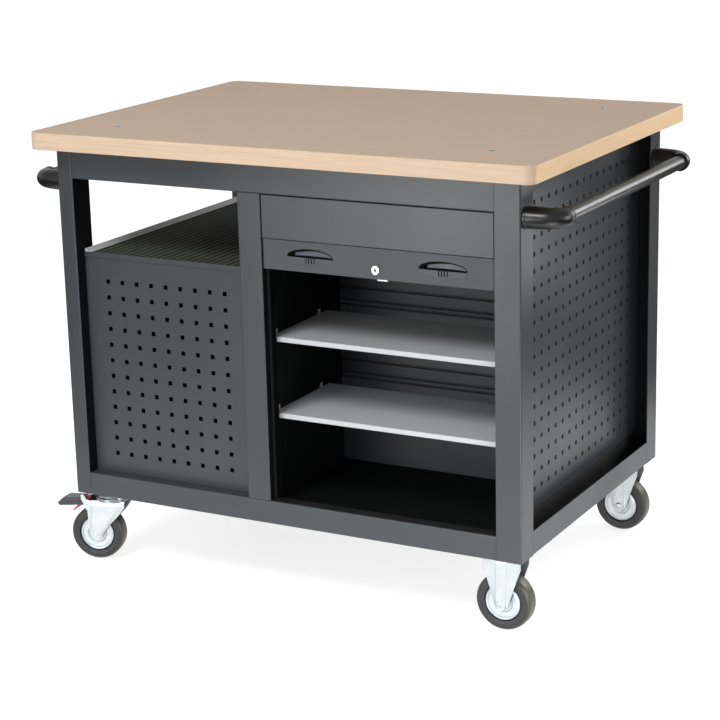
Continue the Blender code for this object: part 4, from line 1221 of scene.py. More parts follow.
@dataclass
class FingerGrip:
    """A moulded oval shell let into the shutter's bar: a scoop over short grooves, walls and grooves painted
    shade.
    """

    half_width: float = 0.055
    half_height: float = 0.0175
    proud: float = 0.6 * MM
    scoop_half_width: float = 0.0537
    rim: tuple[float, float] = (4.2 * MM, 1.3 * MM)
    scoop_low: float = -1.5 * MM
    scoop_depth: float = 7.6 * MM
    lower_wall: float = 0.24
    left_wall: float = 0.17
    right_wall: float = 0.035
    brow: tuple[float, float] = (0.30, 0.10)
    groove_pitch: float = 6.4 * MM
    groove_half: float = 0.9 * MM
    groove_depth: float = 1.0 * MM
    grooves: int = 4
    back: float = 9.0 * MM
    taper: tuple[float, float] = (0.92, 0.80)
    columns: int = 241

    def lines(self, x: Array) -> tuple[Array, Array, Array]:
        """The oval's upper edge, the scoop's straight lip and its arch, as heights over x.

        The arch lies under the oval by a rim that gets thinner from left to right, and falls to the lip by a
        smooth step at the ends.

        Args:
            x: places across the grip.

        Returns:
            The three heights.
        """
        edge = self.half_height * np.sqrt(np.clip(1 - (x / self.half_width) ** 2, 0.0, None))
        bowl = np.sqrt(np.clip(1 - (x / self.scoop_half_width) ** 2, 0.0, None))
        lip = np.maximum(np.full_like(x, self.scoop_low), -0.9 * edge)
        rim = self.rim[0] + (self.rim[1] - self.rim[0]) * (x / self.half_width + 1) / 2
        arch = lip + np.maximum((edge - rim - lip) * smooth_step(2.4 * bowl), 0.02 * MM)
        return edge, lip, arch

    def floor_share(self, x: Array, share: Array) -> Array:
        """How much of the full depth the scoop has: the least of smooth steps in from its four walls.

        Args:
            x: places across the grip.
            share: places from the lip, 0, to the arch, 1.

        Returns:
            0 at the rim and 1 on the floor.
        """
        along = (x / self.scoop_half_width + 1) / 2
        brow = self.brow[0] + (self.brow[1] - self.brow[0]) * np.clip(along, 0.0, 1.0)
        steps = [
            share / self.lower_wall,
            (1 - share) / brow,
            along / self.left_wall,
            (1 - along) / self.right_wall,
        ]
        return np.min([smooth_step(step) for step in steps], axis=0)

    def groove(self, x: Array) -> Array:
        """1 in the middle of one of the short upright grooves and 0 beside them.

        Args:
            x: places across the grip.

        Returns:
            A value for each place.
        """
        place = x / self.groove_pitch + self.grooves / 2
        away = np.abs(place - np.clip(np.floor(place), 0, self.grooves - 1) - 0.5) * self.groove_pitch
        return smooth_step(1.5 - away / self.groove_half)

    def face(self) -> Array:
        """The front as a grid: x is half_width * sin(pi t / 2), and a row is a curve z(x) with a depth y(x).

        From below, the rows are the rim, the lower panel with its grooves, the scoop from its lip to its
        arch, and the rim again.

        Returns:
            rows by columns by three, with y positive into the bar.
        """
        x = self.half_width * np.sin(np.pi / 2 * np.linspace(-1.0, 1.0, self.columns))
        edge, lip, arch = self.lines(x)
        level, proud = np.zeros_like(x), np.full_like(x, -self.proud)
        rows = [(-edge, level), (-0.99 * edge, 0.6 * proud), (-0.95 * edge, proud)]
        low = -0.95 * edge
        for share in np.linspace(0.08, 0.97, 12):
            cut = self.groove(x) * smooth_step(np.full_like(x, (share - 0.2) * 8))
            rows.append((low + (lip - low) * share, proud + self.groove_depth * cut))
        for share in np.linspace(0.0, 1.0, 30):
            depth = proud + (self.scoop_depth + self.proud) * self.floor_share(x, np.full_like(x, share))
            rows.append((lip + (arch - lip) * share, depth))
        rows.append((np.maximum(0.95 * edge, arch), proud))
        rows.append((np.maximum(0.99 * edge, arch), 0.6 * proud))
        rows.append((np.maximum(edge, arch), level))
        return np.stack([np.stack([x, y, z], axis=1) for z, y in rows])

    def build(self, node: str) -> None:
        """Makes the grip that stands for a node.

        Args:
            node: the CAD node.
        """
        low, high = corners_of(node)
        place = np.array([(low[0] + high[0]) / 2, corners_of("shutter_bar")[0][1], (low[2] + high[2]) / 2])
        front = self.face()
        rear = front * np.array([self.taper[0], 0.0, self.taper[1]]) + np.array([0.0, self.back, 0.0])
        shell = slab(front, rear).placed(place)
        piece = add_piece(node + "_shell", [shell], GRIP_ABS, "shutter", [node], weld=True)
        x, _, z = (faces_of(piece)[0] - place).T
        _, lip, arch = self.lines(x)
        share = (z - lip) / (arch - lip)
        scoop = share > 0.0
        wall = (share > 1.0) | (self.floor_share(x, share) < 0.9)
        line = (share < 0.0) & (self.groove(x) > 0.5) & (z > -0.8 * self.half_height)
        # Painted light: the scoop's floor takes the paler blue-grey.
        paint(piece, GRIP_PAINTED_LIGHT, scoop & ~wall)
        # Painted shade: the scoop's walls, the rim over its arch and the grooves below are black.
        paint(piece, GRIP_PAINTED_SHADE, (scoop & wall) | line)


@dataclass
class RollerShutter:
    """The shutter: a fascia, the bottom bar with two grips and a lock, and the slatted curtain behind."""

    sheet: float = 1.5 * MM
    fold: float = 1.4 * MM
    show_gap: float = 0.7 * MM
    slats: int = 8
    slat_groove: float = 1.8 * MM
    lock_rim: float = 9.9 * MM
    lock_body: float = 9.3 * MM
    lock_rise: float = 2.8 * MM
    keyway: tuple[float, float] = (1.8 * MM, 6.4 * MM)
    plug: float = 4.2 * MM
    bolt_x: tuple[float, float] = (0.2325, 0.2555)
    bolt_inset: float = 1.5 * MM
    bolt_drop: float = 3.6 * MM
    bolt_sunk: float = 1.0 * MM
    slider: float = 2.0 * MM
    slider_proud: float = 0.25 * MM
    slider_depth: float = 1.0 * MM
    slider_gap: float = 0.2 * MM

    def fascia(self) -> None:
        """The folded front sheet over the opening: a channel section carried across the bay."""
        low, high = corners_of("shutter_fascia")
        low = low + np.array([self.show_gap, 0.0, 0.0])
        high = high - np.array([self.show_gap, 0.0, self.show_gap])
        sheet, edge = self.sheet, CUT_EDGE
        line = [
            (low[1], low[2]),
            (high[1], low[2]),
            (high[1], low[2] + sheet),
            (low[1] + sheet, low[2] + sheet),
            (low[1] + sheet, high[2] - sheet),
            (high[1], high[2] - sheet),
            (high[1], high[2]),
            (low[1], high[2]),
        ]
        outline = rounded(line, [self.fold, edge, edge, edge, edge, edge, edge, self.fold], 4)
        shell = bar(outline, 0, low[0], high[0])
        add_piece("shutter_fascia_sheet", [shell], ANTHRACITE, "frame", ["shutter_fascia"])

    def curtain(self, node: str, body: str) -> None:
        """One part of the curtain: slats with a crowned face, in section y = front + groove * |2t - 1|^6.

        Args:
            node: the CAD node that it stands for.
            body: the body that it rides on.
        """
        low, high = corners_of(node)
        t = np.linspace(0.0, 1.0, 13)[:-1]
        place = (np.arange(self.slats)[:, None] + t).ravel() / self.slats
        back_set = np.tile(self.slat_groove * np.abs(2 * t - 1) ** 6, self.slats)
        front = np.stack([low[1] + back_set, low[2] + place * (high[2] - low[2])], axis=1)
        rest = [(low[1] + self.slat_groove, high[2]), (high[1], high[2]), (high[1], low[2])]
        shell = bar(np.concatenate([front, rest]), 0, low[0], high[0], FINE_EDGE, 1)
        add_piece(node + "_slats", [shell], SLAT_COAT, body, [node])

    def lock(self) -> None:
        """The lock: a rimmed barrel turned about Y, with a plug and a keyway in its face."""
        x, y, z = joint_of("lock_turn")["pos_m"]
        depth = corners_of("shutter_bar")[1][1] - y
        face = -self.lock_rise
        profile = [
            (self.lock_body, depth),
            (self.lock_body, -0.3 * MM),
            (self.lock_rim, -0.3 * MM),
            (self.lock_rim, face + 0.9 * MM),
            (self.lock_rim - 0.3 * MM, face + 0.3 * MM),
            (self.lock_rim - 1.0 * MM, face),
            (self.lock_rim - 2.2 * MM, face),
            (self.lock_rim - 2.8 * MM, face + 0.7 * MM),
            (self.lock_rim - 3.2 * MM, face + 0.8 * MM),
            (0.5 * MM, face + 0.6 * MM),
        ]
        barrel = turned(profile, 40).placed((x, y, z))
        add_piece("lock_barrel", [barrel], NICKEL, "lock", ["lock_cylinder"])
        half_width, half_height = self.keyway[0] / 2, self.keyway[1] / 2
        outline = rectangle((x - half_width, z - half_height), (x + half_width, z + half_height), 0.5 * MM)
        key = bar(outline, 1, y + face + 0.45 * MM, y + face + 0.9 * MM, 0.1 * MM)
        profile = [
            (self.plug, face + 0.9 * MM),
            (self.plug, face + 0.62 * MM),
            (self.plug - 0.3 * MM, face + 0.5 * MM),
        ]
        plug = turned(profile, 28).placed((x, y, z))
        add_piece("lock_plug", [plug], LOCK_PLUG, "lock")
        # Painted shade: the keyway is black for the shade inside its slot.
        add_piece("lock_keyway", [key], BLACK_PLASTIC_AND_SHADE, "lock")

    def sliders(self) -> None:
        """The black plastic sliders at both ends of the bar, as thin strips over its front."""
        low, high = corners_of("shutter_bar")
        gap = self.slider_gap
        shells = []
        for start, stop in ((low[0], low[0] + self.slider), (high[0] - self.slider, high[0])):
            face, back = low[1] - self.slider_proud, low[1] + self.slider_depth
            outline = rectangle((start, face), (stop, back), FINE_EDGE)
            shells.append(bar(outline, 2, low[2] + gap, high[2] - gap, FINE_EDGE))
        add_piece("shutter_bar_sliders", shells, BLACK_PLASTIC_AND_SHADE, "shutter")

    def bolt(self) -> None:
        """The end of the lock's bolt, which stands out under the bar."""
        low, high = corners_of("shutter_bar")
        start = (low[1] + self.bolt_inset, low[2] - self.bolt_drop)
        stop = (high[1] - self.bolt_inset, low[2] + self.bolt_sunk)
        shell = bar(rectangle(start, stop, 0.8 * MM), 0, self.bolt_x[0], self.bolt_x[1], 0.6 * MM)
        add_piece("lock_bolt", [shell], ZINC, "shutter")

    def build(self) -> None:
        """All the pieces of the shutter."""
        # Painted shade: the shutter's guides are near black.
        dress(PAINTED_SHADE_COAT, "left_shutter_guide", "right_shutter_guide")
        dress(BAR_COAT, "shutter_bar")
        self.sliders()
        self.fascia()
        for node in ("left_grip", "right_grip"):
            FingerGrip().build(node)
        self.lock()
        self.bolt()
        self.curtain("curtain_lower", "shutter")
        self.curtain("curtain_middle", "shutter_middle")
        self.curtain("curtain_upper", "shutter_upper")


class Side(Enum):
    """A side of the bench, as the names of the CAD nodes spell it."""

    @property
    def word(self) -> str:
        """The side's word in a node's name."""
        return self.name.lower()


class End(Side):
    """The two ends of the bench, with the sign of the side that they face."""

    LEFT = -1
    RIGHT = 1


class Row(Side):
    """The front and the rear of the bench, with the sign of the way from there to the middle."""

    FRONT = 1
    REAR = -1


@dataclass
class PushHandle:
    """A black tube across one end of the bench, held in two moulded elbows."""

    end: End
    tube_radius: float = 0.0155
    reach: float = 0.070
    bend: float = 0.030
    run: float = 6.0 * MM
    foot_half_depth: float = 0.029
    foot_half_height: float = 0.0238
    flange: float = 6.0 * MM
    neck_drop: float = 1.0 * MM
    shell_radius: float = 0.0195
    collar: float = 1.0 * MM
    segments: int = 48

    def stations(self) -> Array:
        """The elbow's path as rows of (x, y, turn, half depth, half height).

        It runs straight out from the post, through a quarter circle, then straight into the collar. The
        section is an ellipse that shrinks from the foot to the socket by a smooth step of the way along. The
        first four stations make the foot's flange and the last five the collar, with eased rims.

        Returns:
            One row for each station.
        """
        straight = self.reach - self.bend
        x = np.concatenate([[0.3, 0.9, 5.4, 6.0, 6.6], np.linspace(8.0, straight / MM, 8)]) * MM
        turn = np.linspace(0.0, np.pi / 2, 17)[1:]
        arc_x = straight + self.bend * np.sin(turn)
        arc_y = self.bend * (1 - np.cos(turn))
        end_y = self.bend + self.run * np.array([0.1, 0.2, 0.3, 0.9, 1.0])
        path_x = np.concatenate([x, arc_x, np.full(5, self.reach)])
        path_y = np.concatenate([np.zeros_like(x), arc_y, end_y])
        angle = np.concatenate([np.zeros_like(x), turn, np.full(5, np.pi / 2)])
        way = np.concatenate([[0.0], np.cumsum(np.hypot(np.diff(path_x), np.diff(path_y)))])
        shrink = smooth_step((way - self.flange) / (way[-1] - self.flange))
        depth = (self.foot_half_depth - self.neck_drop) * (1 - shrink) + self.shell_radius * shrink
        height = (self.foot_half_height - self.neck_drop) * (1 - shrink) + self.shell_radius * shrink
        rim = np.array([-0.6, 0.0, 0.0, -0.6]) * MM
        depth[:4] = self.foot_half_depth + rim
        height[:4] = self.foot_half_height + rim
        swell = np.array([0.0, 0.5, 1.0, 1.0, 0.4]) * self.collar
        depth[-5:] += swell
        height[-5:] += swell
        return np.stack([path_x, path_y, angle, depth, height], axis=1)

    def elbow(self, row: Row) -> None:
        """One elbow: an ellipse carried along the path, closed flat at the post and at the tube.

        Args:
            row: the post that it stands on.
        """
        node = f"{self.end.word}_{row.word}_bracket"
        post = corners_of(f"{row.word}_{self.end.word}_post")
        tube = corners_of(f"{self.end.word}_push_tube")
        table = self.stations()
        ring = np.arange(self.segments) * 2 * np.pi / self.segments
        across = table[:, 3:4] * np.cos(ring)
        x = table[:, 0:1] - across * np.sin(table[:, 2:3])
        y = table[:, 1:2] + across * np.cos(table[:, 2:3])
        z = table[:, 4:5] * np.sin(ring)
        rings = np.stack([self.end.value * x, row.value * y, z], axis=-1)
        foot_x = post[1][0] if self.end is End.RIGHT else post[0][0]
        place = (foot_x, (post[0][1] + post[1][1]) / 2, (tube[0][2] + tube[1][2]) / 2)
        shell = carried(rings).placed(place)
        add_piece(node + "_elbow", [shell], HANDLE_NYLON, "frame", [node])

    def build(self) -> None:
        """The tube and its two elbows."""
        node = f"{self.end.word}_push_tube"
        low, high = corners_of(node)
        middle = (low + high) / 2
        half = (high[1] - low[1]) / 2
        profile = [(self.tube_radius, -half), (self.tube_radius, half)]
        shell = turned(profile, self.segments).placed(middle)
        add_piece(node + "_steel", [shell], TUBE_COAT, "frame", [node])
        for row in Row:
            self.elbow(row)


@dataclass
class Wheel:
    """A castor wheel about its own middle: a solid rubber tyre on a pressed disc, turning about Y."""

    radius: float = 0.0625
    half_width: float = 0.020
    rim_radius: float = 0.0392
    bead: float = 2.6 * MM
    barrel_radius: float = 0.0135
    bore: float = 6.4 * MM
    barrel_half: float = 0.0226
    segments: int = 72
    tread_depth: float = 8.0 * MM
    tread_lean: float = 0.75

    def tyre(self) -> Shell:
        """The tyre's closed section, turned: a groove at the disc, a bead, a wall and a crowned tread.

        Returns:
            The skin.
        """
        wide, rim, outer = self.half_width, self.rim_radius + 0.3 * MM, self.radius
        half = [
            (rim, wide - 6.5 * MM),
            (rim + 1.2 * MM, wide - 6.5 * MM),
            (rim + self.bead, wide - 1.8 * MM),
            (rim + 4.6 * MM, wide - 1.0 * MM),
            (rim + 10.0 * MM, wide),
            (outer - 6.0 * MM, wide - 0.5 * MM),
            (outer - 0.7 * MM, wide - 5.5 * MM),
            (outer, wide - 12.0 * MM),
        ]
        size = [0.3, 0.3, 0.8, 3.0, 6.0, 5.0, 5.0, 4.0]
        section = rounded(doubled(np.array(half)), np.array(size + size[::-1]) * MM, 4)
        return turned(section, self.segments, 1, True)

    def disc(self) -> Shell:
        """The wheel centre's closed section, turned: a barrel, a dished disc with a raised ring, and the rim.

        Returns:
            The skin.
        """
        wide, rim = self.half_width, self.rim_radius
        half = [
            (self.bore, self.barrel_half),
            (self.barrel_radius, self.barrel_half),
            (self.barrel_radius + 1.5 * MM, wide - 4.5 * MM),
            (0.021, wide - 5.0 * MM),
            (0.023, wide - 3.6 * MM),
            (0.033, wide - 3.2 * MM),
            (0.0355, wide - 4.6 * MM),
            (rim - 1.6 * MM, wide - 4.4 * MM),
            (rim - 0.6 * MM, wide - 2.4 * MM),
            (rim, wide - 3.0 * MM),
        ]
        size = [0.4, 0.8, 1.0, 1.2, 1.2, 1.5, 1.2, 0.8, 0.4, 0.2]
        section = rounded(doubled(np.array(half)), np.array(size + size[::-1]) * MM, 3)
        return turned(section, self.segments, 1, True)

    def build(self, prefix: str, body: str, place: Point, yaw: float) -> None:
        """Makes the wheel's two pieces.

        Args:
            prefix: what the CAD nodes' names begin with.
            body: the body that turns with the wheel.
            place: the wheel's middle.
            yaw: the turn of its axle about Z.
        """
        tyre = self.tyre().placed(place, yaw)
        piece = add_piece(prefix + "_tyre_rubber", [tyre], TYRE_RUBBER, body, [prefix + "_tyre"])
        middle, normal = faces_of(piece)
        out = np.linalg.norm(middle - np.asarray(place, float), axis=1)
        aside = np.abs(normal @ np.array([-math.sin(yaw), math.cos(yaw), 0.0]))
        paint(piece, TREAD_RUBBER, (out > self.radius - self.tread_depth) & (aside < self.tread_lean))
        disc = self.disc().placed(place, yaw)
        add_piece(prefix + "_wheel_disc", [disc], HUB_ZINC, body, [prefix + "_hub"])


@dataclass
class Castor:
    """What the fixed and the swivel castors share: plate, bolts, axle and the sheet of the legs."""

    row: Row
    leg_inner: float = 0.0232
    leg_sheet: float = 3.0 * MM
    foot_radius: float = 0.016
    axle_z: float = 0.0625
    plate_corner: float = 8.0 * MM
    plate_top: float = 0.1677
    plate_bottom: float = 0.1637
    plate_half: tuple[float, float] = (0.0525, 0.0425)
    bolt_spread: tuple[float, float] = (0.040, 0.030)
    bolt_flat: float = 6.5 * MM
    bolt_height: float = 5.5 * MM
    bolt_ease: float = 0.6 * MM
    axle_head: tuple[float, float] = (8.0 * MM, 3.4 * MM)
    axle_stem: float = 6.0 * MM
    axle_sunk: float = 0.1 * MM

    def plate(self) -> list[Shell]:
        """The top plate and the hex heads of its four bolts, about the castor's middle.

        Returns:
            The skins.
        """
        half_x, half_y = self.plate_half
        outline = rectangle((-half_x, -half_y), (half_x, half_y), self.plate_corner, 5)
        shells = [bar(outline, 2, self.plate_bottom, self.plate_top, 0.6 * MM)]
        angle = np.arange(6) * np.pi / 3
        hexagon = np.stack([np.cos(angle), np.sin(angle)], axis=1) * self.bolt_flat / math.cos(math.pi / 6)
        hexagon = rounded(hexagon, self.bolt_ease, 2)
        low = self.plate_bottom - self.bolt_height
        for x in (-self.bolt_spread[0], self.bolt_spread[0]):
            for y in (-self.bolt_spread[1], self.bolt_spread[1]):
                shells.append(bar(hexagon, 2, low, self.plate_bottom, 0.7 * MM).placed((x, y, 0.0)))
        return shells

    def axle(self, rise: float) -> Shell:
        """The axle bolt along Y with a domed head on each side.

        Args:
            rise: how far the legs stand out at the axle.

        Returns:
            The skin.
        """
        half = self.leg_inner + self.leg_sheet + rise - self.axle_sunk
        head = dome(*self.axle_head, 5)
        head[:, 1] += half
        return turned(doubled(np.concatenate([head[::-1], [(self.axle_stem, half)]])), 32)

    def levels(self, top: float, knee: float) -> tuple[Array, Array, Array]:
        """The heights of a leg's rows: evenly to the knee, evenly to the axle, then down the foot's circle.

        Args:
            top: the leg's upper end.
            knee: where it begins to taper.

        Returns:
            The heights, the half width of the foot's circle at each, and the taper from 1 at the knee to 0
            at the axle.
        """
        bow = np.linspace(0.0, 0.46 * np.pi, 10)[1:]
        z = np.concatenate([
            np.linspace(top, knee, 8),
            np.linspace(knee, self.axle_z, 16)[1:],
            self.axle_z - self.foot_radius * np.sin(bow),
        ])
        foot = np.sqrt(np.clip(self.foot_radius ** 2 - np.minimum(z - self.axle_z, 0.0) ** 2, 0.0, None))
        taper = np.clip((z - self.axle_z) / (knee - self.axle_z), 0.0, 1.0)
        return z, foot, taper

    def pressed(self, across: Array, stand: Array, z: Array, side: float) -> Shell:
        """A leg's sheet on a grid of rows down the leg and columns across it.

        Args:
            across: each point's place along the wheel.
            stand: how far each point stands out from the flat leg.
            z: the rows' heights.
            side: +1 or -1, the side of the wheel.

        Returns:
            The skin.
        """
        level = np.broadcast_to(z[:, None], across.shape)
        outside = self.leg_inner + self.leg_sheet + stand
        faces = [np.stack([across, side * y, level], axis=-1) for y in (outside, outside - self.leg_sheet)]
        return slab(*faces)


@dataclass
class FixedCastor(Castor):
    """A fixed castor: two straight legs with a pressed channel, under a bolted plate."""

    top_half: float = 0.043
    shoulder: float = 0.022
    channel_half: float = 0.0115
    channel_rise: float = 3.2 * MM
    flank_drop: float = 2.2 * MM

    def leg(self, side: float) -> Shell:
        """One leg as a sheet on a grid of height and width.

        Its half width runs straight from the shoulder to the axle and then follows the foot's circle. Across,
        the sheet stands out by channel_rise between the channel's walls, and its flanks fall back towards the
        edge.

        Args:
            side: +1 or -1, the side of the wheel.

        Returns:
            The skin.
        """
        top = self.plate_bottom
        z, foot, taper = self.levels(top, top - self.shoulder)
        straight = self.foot_radius + (self.top_half - self.foot_radius) * taper
        half = np.where(z >= self.axle_z, straight, foot)
        channel = np.minimum(self.channel_half, 0.72 * half)[:, None]
        wall = np.linspace(-1.0, 1.0, 6) * np.minimum(1.1 * MM, 0.1 * half[:, None])
        inner = channel * np.linspace(0.0, 0.86, 5)
        outer = channel * 1.14 + (half[:, None] - channel * 1.14) * np.linspace(0.0, 1.0, 8)[1:]
        across = np.concatenate([inner, channel + wall, outer], axis=1)
        rise = np.concatenate([np.ones(5), smooth_step(np.linspace(1.0, 0.0, 6)), np.zeros(7)])
        drop = np.concatenate([np.zeros(11), np.linspace(0.0, 1.0, 8)[1:]])
        fade = smooth_step((top - 5.0 * MM - z) / (6.0 * MM))[:, None]
        stand = fade * (self.channel_rise * rise - self.flank_drop * drop)
        across = np.concatenate([-across[:, :0:-1], across], axis=1)
        stand = np.concatenate([stand[:, :0:-1], stand], axis=1)
        return self.pressed(across, stand, z, side)

    def build(self) -> None:
        """The fork, its axle and the wheel."""
        prefix = self.row.word + "_fixed"
        place = np.array(joint_of(prefix + "_wheel_spin")["pos_m"])
        base = (place[0], place[1], 0.0)
        shells = [shell.placed(base) for shell in (*self.plate(), self.leg(1.0), self.leg(-1.0))]
        add_piece(prefix + "_fork_pressing", shells, ZINC, "frame", [prefix + "_fork"])
        axle = self.axle(self.channel_rise).placed(place)
        add_piece(prefix + "_axle_bolt", [axle], ZINC, "frame", [prefix + "_axle"])
        Wheel().build(prefix, prefix + "_wheel", place, 0.0)


@dataclass
class SwivelCastor(Castor):
    """A swivel castor: a ball race under its plate, a trailing fork and a pedal with a red release."""

    axle_head: tuple[float, float] = (6.5 * MM, 1.8 * MM)
    offset: float = 0.038
    race_radius: float = 0.0405
    race_bottom: float = 0.1562
    bowl_radius: float = 0.0428
    bowl_top: float = 0.1552
    bowl_bottom: float = 0.1448
    leg_top: float = 0.1440
    shoulder: float = 0.012
    nose: float = 0.034
    tail: float = 0.018
    leg_rise: float = 1.6 * MM
    lean_in: float = 2.0 * MM
    lean_height: float = 5.0 * MM
    pedal_half: float = 0.019
    pedal_reach: float = 0.101
    pedal_top: float = 7.5 * MM
    pad_ribs: tuple[float, ...] = (0.54, 0.60, 0.66, 0.72)
    button_radius: float = 7.0 * MM
    button_rise: float = 2.0 * MM
    button_place: tuple[float, float, float] = (-0.0535, 0.0, 0.1530)

    def race(self) -> Shell:
        """The ring of the ball race under the plate, turned about Z, with a rolled lower edge.

        Returns:
            The skin.
        """
        top, low, wide = self.plate_bottom, self.race_bottom, self.race_radius
        line = [
            (5.0 * MM, top),
            (wide - 5.0 * MM, top),
            (wide - 3.5 * MM, top - 2.5 * MM),
            (wide, low + 2.4 * MM),
            (wide - 0.6 * MM, low),
            (5.0 * MM, low),
        ]
        size = np.array([0.5, 1.5, 1.5, 1.0, 0.8, 0.5]) * MM
        return turned(rounded(line, size, 4), 64, 2, True)

    def bowl(self) -> Shell:
        """The fork's bowl that runs on the race, turned about Z: a rolled rim over a rounded flank.

        Returns:
            The skin.
        """
        top, low, wide = self.bowl_top, self.bowl_bottom, self.bowl_radius
        line = [
            (6.4 * MM, top),
            (wide - 2.0 * MM, top),
            (wide, top - 2.2 * MM),
            (wide - 1.8 * MM, top - 4.4 * MM),
            (wide - 0.4 * MM, low + 3.2 * MM),
            (wide - 3.5 * MM, low),
            (6.4 * MM, low),
        ]
        size = np.array([0.4, 0.9, 1.6, 0.7, 1.8, 1.5, 0.4]) * MM
        return turned(rounded(line, size, 4), 64, 2, True)

    def kingpin(self) -> Shell:
        """The pin through the bowl with its nut below.

        Returns:
            The skin.
        """
        low = self.bowl_bottom - 0.3 * MM
        line = [
            (5.0 * MM, self.plate_bottom),
            (5.8 * MM, self.race_bottom),
            (5.8 * MM, low),
            (10.5 * MM, low),
            (11.0 * MM, low - 0.8 * MM),
            (11.0 * MM, low - 3.8 * MM),
            (9.5 * MM, low - 5.0 * MM),
        ]
        return turned(line, 32, 2)

    def leg(self, side: float) -> Shell:
        """One trailing leg as a sheet on a grid of height and width.

        The back edge drops almost straight to the foot's circle and the front edge slopes to it from under
        the bowl. A broad panel between them stands out by leg_rise, and the top leans in under the bowl.

        Args:
            side: +1 or -1, the side of the wheel.

        Returns:
            The skin.
        """
        top = self.leg_top
        z, foot, taper = self.levels(top, top - self.shoulder)
        taper = 0.35 * smooth_step(taper) + 0.65 * taper
        front = -self.offset + foot + (self.nose + self.offset - self.foot_radius) * taper
        back = -self.offset - foot - (self.tail - self.foot_radius) * taper
        share = np.concatenate([[0.0, 0.04, 0.09, 0.13, 0.17], np.linspace(0.25, 0.75, 9),
                                [0.83, 0.87, 0.91, 0.96, 1.0]])
        across = back[:, None] + (front - back)[:, None] * share
        panel = smooth_step((0.5 - np.abs(share - 0.5) - 0.05) / 0.11)
        stand = self.leg_rise * panel * smooth_step((top - 4.0 * MM - z) / (6.0 * MM))[:, None]
        lean = self.lean_in * smooth_step((z - top + self.lean_height) / self.lean_height)[:, None]
        return self.pressed(across, stand - lean, z, side)

    def horn(self, side: float) -> Shell:
        """The lug that rises from the back of a leg beside the pedal: a rounded outline carried along Y.

        Args:
            side: +1 or -1, the side of the wheel.

        Returns:
            The skin.
        """
        line = [
            (-44.0, 119.0),
            (-44.0, 143.0),
            (-56.0, 146.0),
            (-63.0, 158.0),
            (-71.0, 157.0),
            (-70.0, 147.0),
            (-57.0, 119.0),
        ]
        size = np.array([2.0, 2.0, 5.0, 3.6, 3.4, 8.0, 2.0]) * MM
        inner, outer = self.leg_inner + 0.4 * MM, self.leg_inner + self.leg_sheet + 0.5 * MM
        start, stop = sorted((side * inner, side * outer))
        return bar(rounded(np.array(line) * MM, size, 4), 1, start, stop, 0.9 * MM, 3)

    def button(self) -> Shell:
        """The round red button between the horns, turned about Y.

        Returns:
            The skin.
        """
        foot = self.leg_inner - 2.0 * MM - self.button_rise
        head = dome(self.button_radius, self.button_rise) + np.array([0.0, foot])
        return turned(doubled(head[::-1]), 28).placed(self.button_place)

    def pedal(self) -> tuple[list[Shell], list[Shell], list[Shell]]:
        """The pedal about its hinge: a wedge with a slanted tread, a ribbed pad and the red release below.

        Returns:
            The black skins, the pad's and the red ones.
        """
        reach, half, top = self.pedal_reach, self.pedal_half, self.pedal_top
        line = [
            (5.0 * MM, -5.5 * MM),
            (5.0 * MM, 4.0 * MM),
            (-reach / 3, top),
            (-0.80 * reach, top),
            (-reach, -5.0 * MM),
            (-0.965 * reach, -12.5 * MM),
            (-reach / 3, -8.0 * MM),
        ]
        size = np.array([2.5, 2.5, 6.0, 3.5, 2.0, 3.0, 6.0]) * MM
        black = [bar(rounded(line, size, 4), 1, -half, half, 2.5 * MM, 4)]
        plate = rectangle((-0.78 * reach, top - 0.3 * MM), (-0.48 * reach, top + 0.8 * MM), 0.4 * MM)
        pad = [bar(plate, 1, -0.74 * half, 0.74 * half, 0.5 * MM)]
        for share in self.pad_ribs:
            x = -share * reach
            rib = rectangle((x - 1.0 * MM, top), (x + 1.0 * MM, top + 1.5 * MM), 0.4 * MM)
            pad.append(bar(rib, 1, -0.66 * half, 0.66 * half, 0.4 * MM))
        line = [(-35.0, -6.5), (-50.0, -7.5), (-69.0, -25.0), (-66.5, -26.8), (-46.0, -12.6)]
        size = np.array([0.8, 1.5, 1.0, 0.8, 4.0]) * MM
        tongue = rounded(np.array(line) * MM, size)
        red = [bar(tongue, 1, -0.5 * half, 0.5 * half, 0.8 * MM)]
        return black, pad, red

    def build(self) -> None:
        """The plate, the fork, the axle, the wheel and the pedal."""
        name = self.row.word
        prefix = name + "_swivel"
        pivot = joint_of(prefix + "_turn")["pos_m"]
        base = (pivot[0], pivot[1], 0.0)
        spin = joint_of(prefix + "_wheel_spin")
        yaw = math.atan2(-spin["axis"][0], spin["axis"][1])
        plate = [shell.placed(base) for shell in self.plate()]
        add_piece(prefix + "_top_plate", plate, ZINC, "frame", [prefix + "_plate"])
        head = [self.race().placed(base), self.kingpin().placed(base)]
        add_piece(prefix + "_ball_race", head, RACE_ZINC, "frame")
        add_piece(prefix + "_fork_bowl", [self.bowl().placed(base, yaw)], RACE_ZINC, prefix)
        sides = [shape(side) for side in (1.0, -1.0) for shape in (self.leg, self.horn)]
        fork = [shell.placed(base, yaw) for shell in sides]
        add_piece(prefix + "_fork_pressing", fork, ZINC, prefix, [prefix + "_fork"])
        add_piece(prefix + "_brake_button", [self.button().placed(base, yaw)], DARK_RED, prefix)
        axle = self.axle(self.leg_rise).placed(spin["pos_m"], yaw)
        add_piece(prefix + "_axle_bolt", [axle], ZINC, prefix, [prefix + "_axle"])
        Wheel().build(prefix, prefix + "_wheel", spin["pos_m"], yaw)
        hinge = joint_of(name + "_brake_press")["pos_m"]
        brake = name + "_brake"
        black, pad, red = [[shell.placed(hinge, yaw) for shell in shells] for shells in self.pedal()]
        add_piece(brake + "_lever", black, PEDAL_NYLON, brake, [brake + "_pedal"])
        # Painted highlight: the pad is grey.
        add_piece(brake + "_pad", pad, PEDAL_PAINTED_HIGHLIGHT, brake)
        add_piece(brake + "_release", red, RED_NYLON, brake)


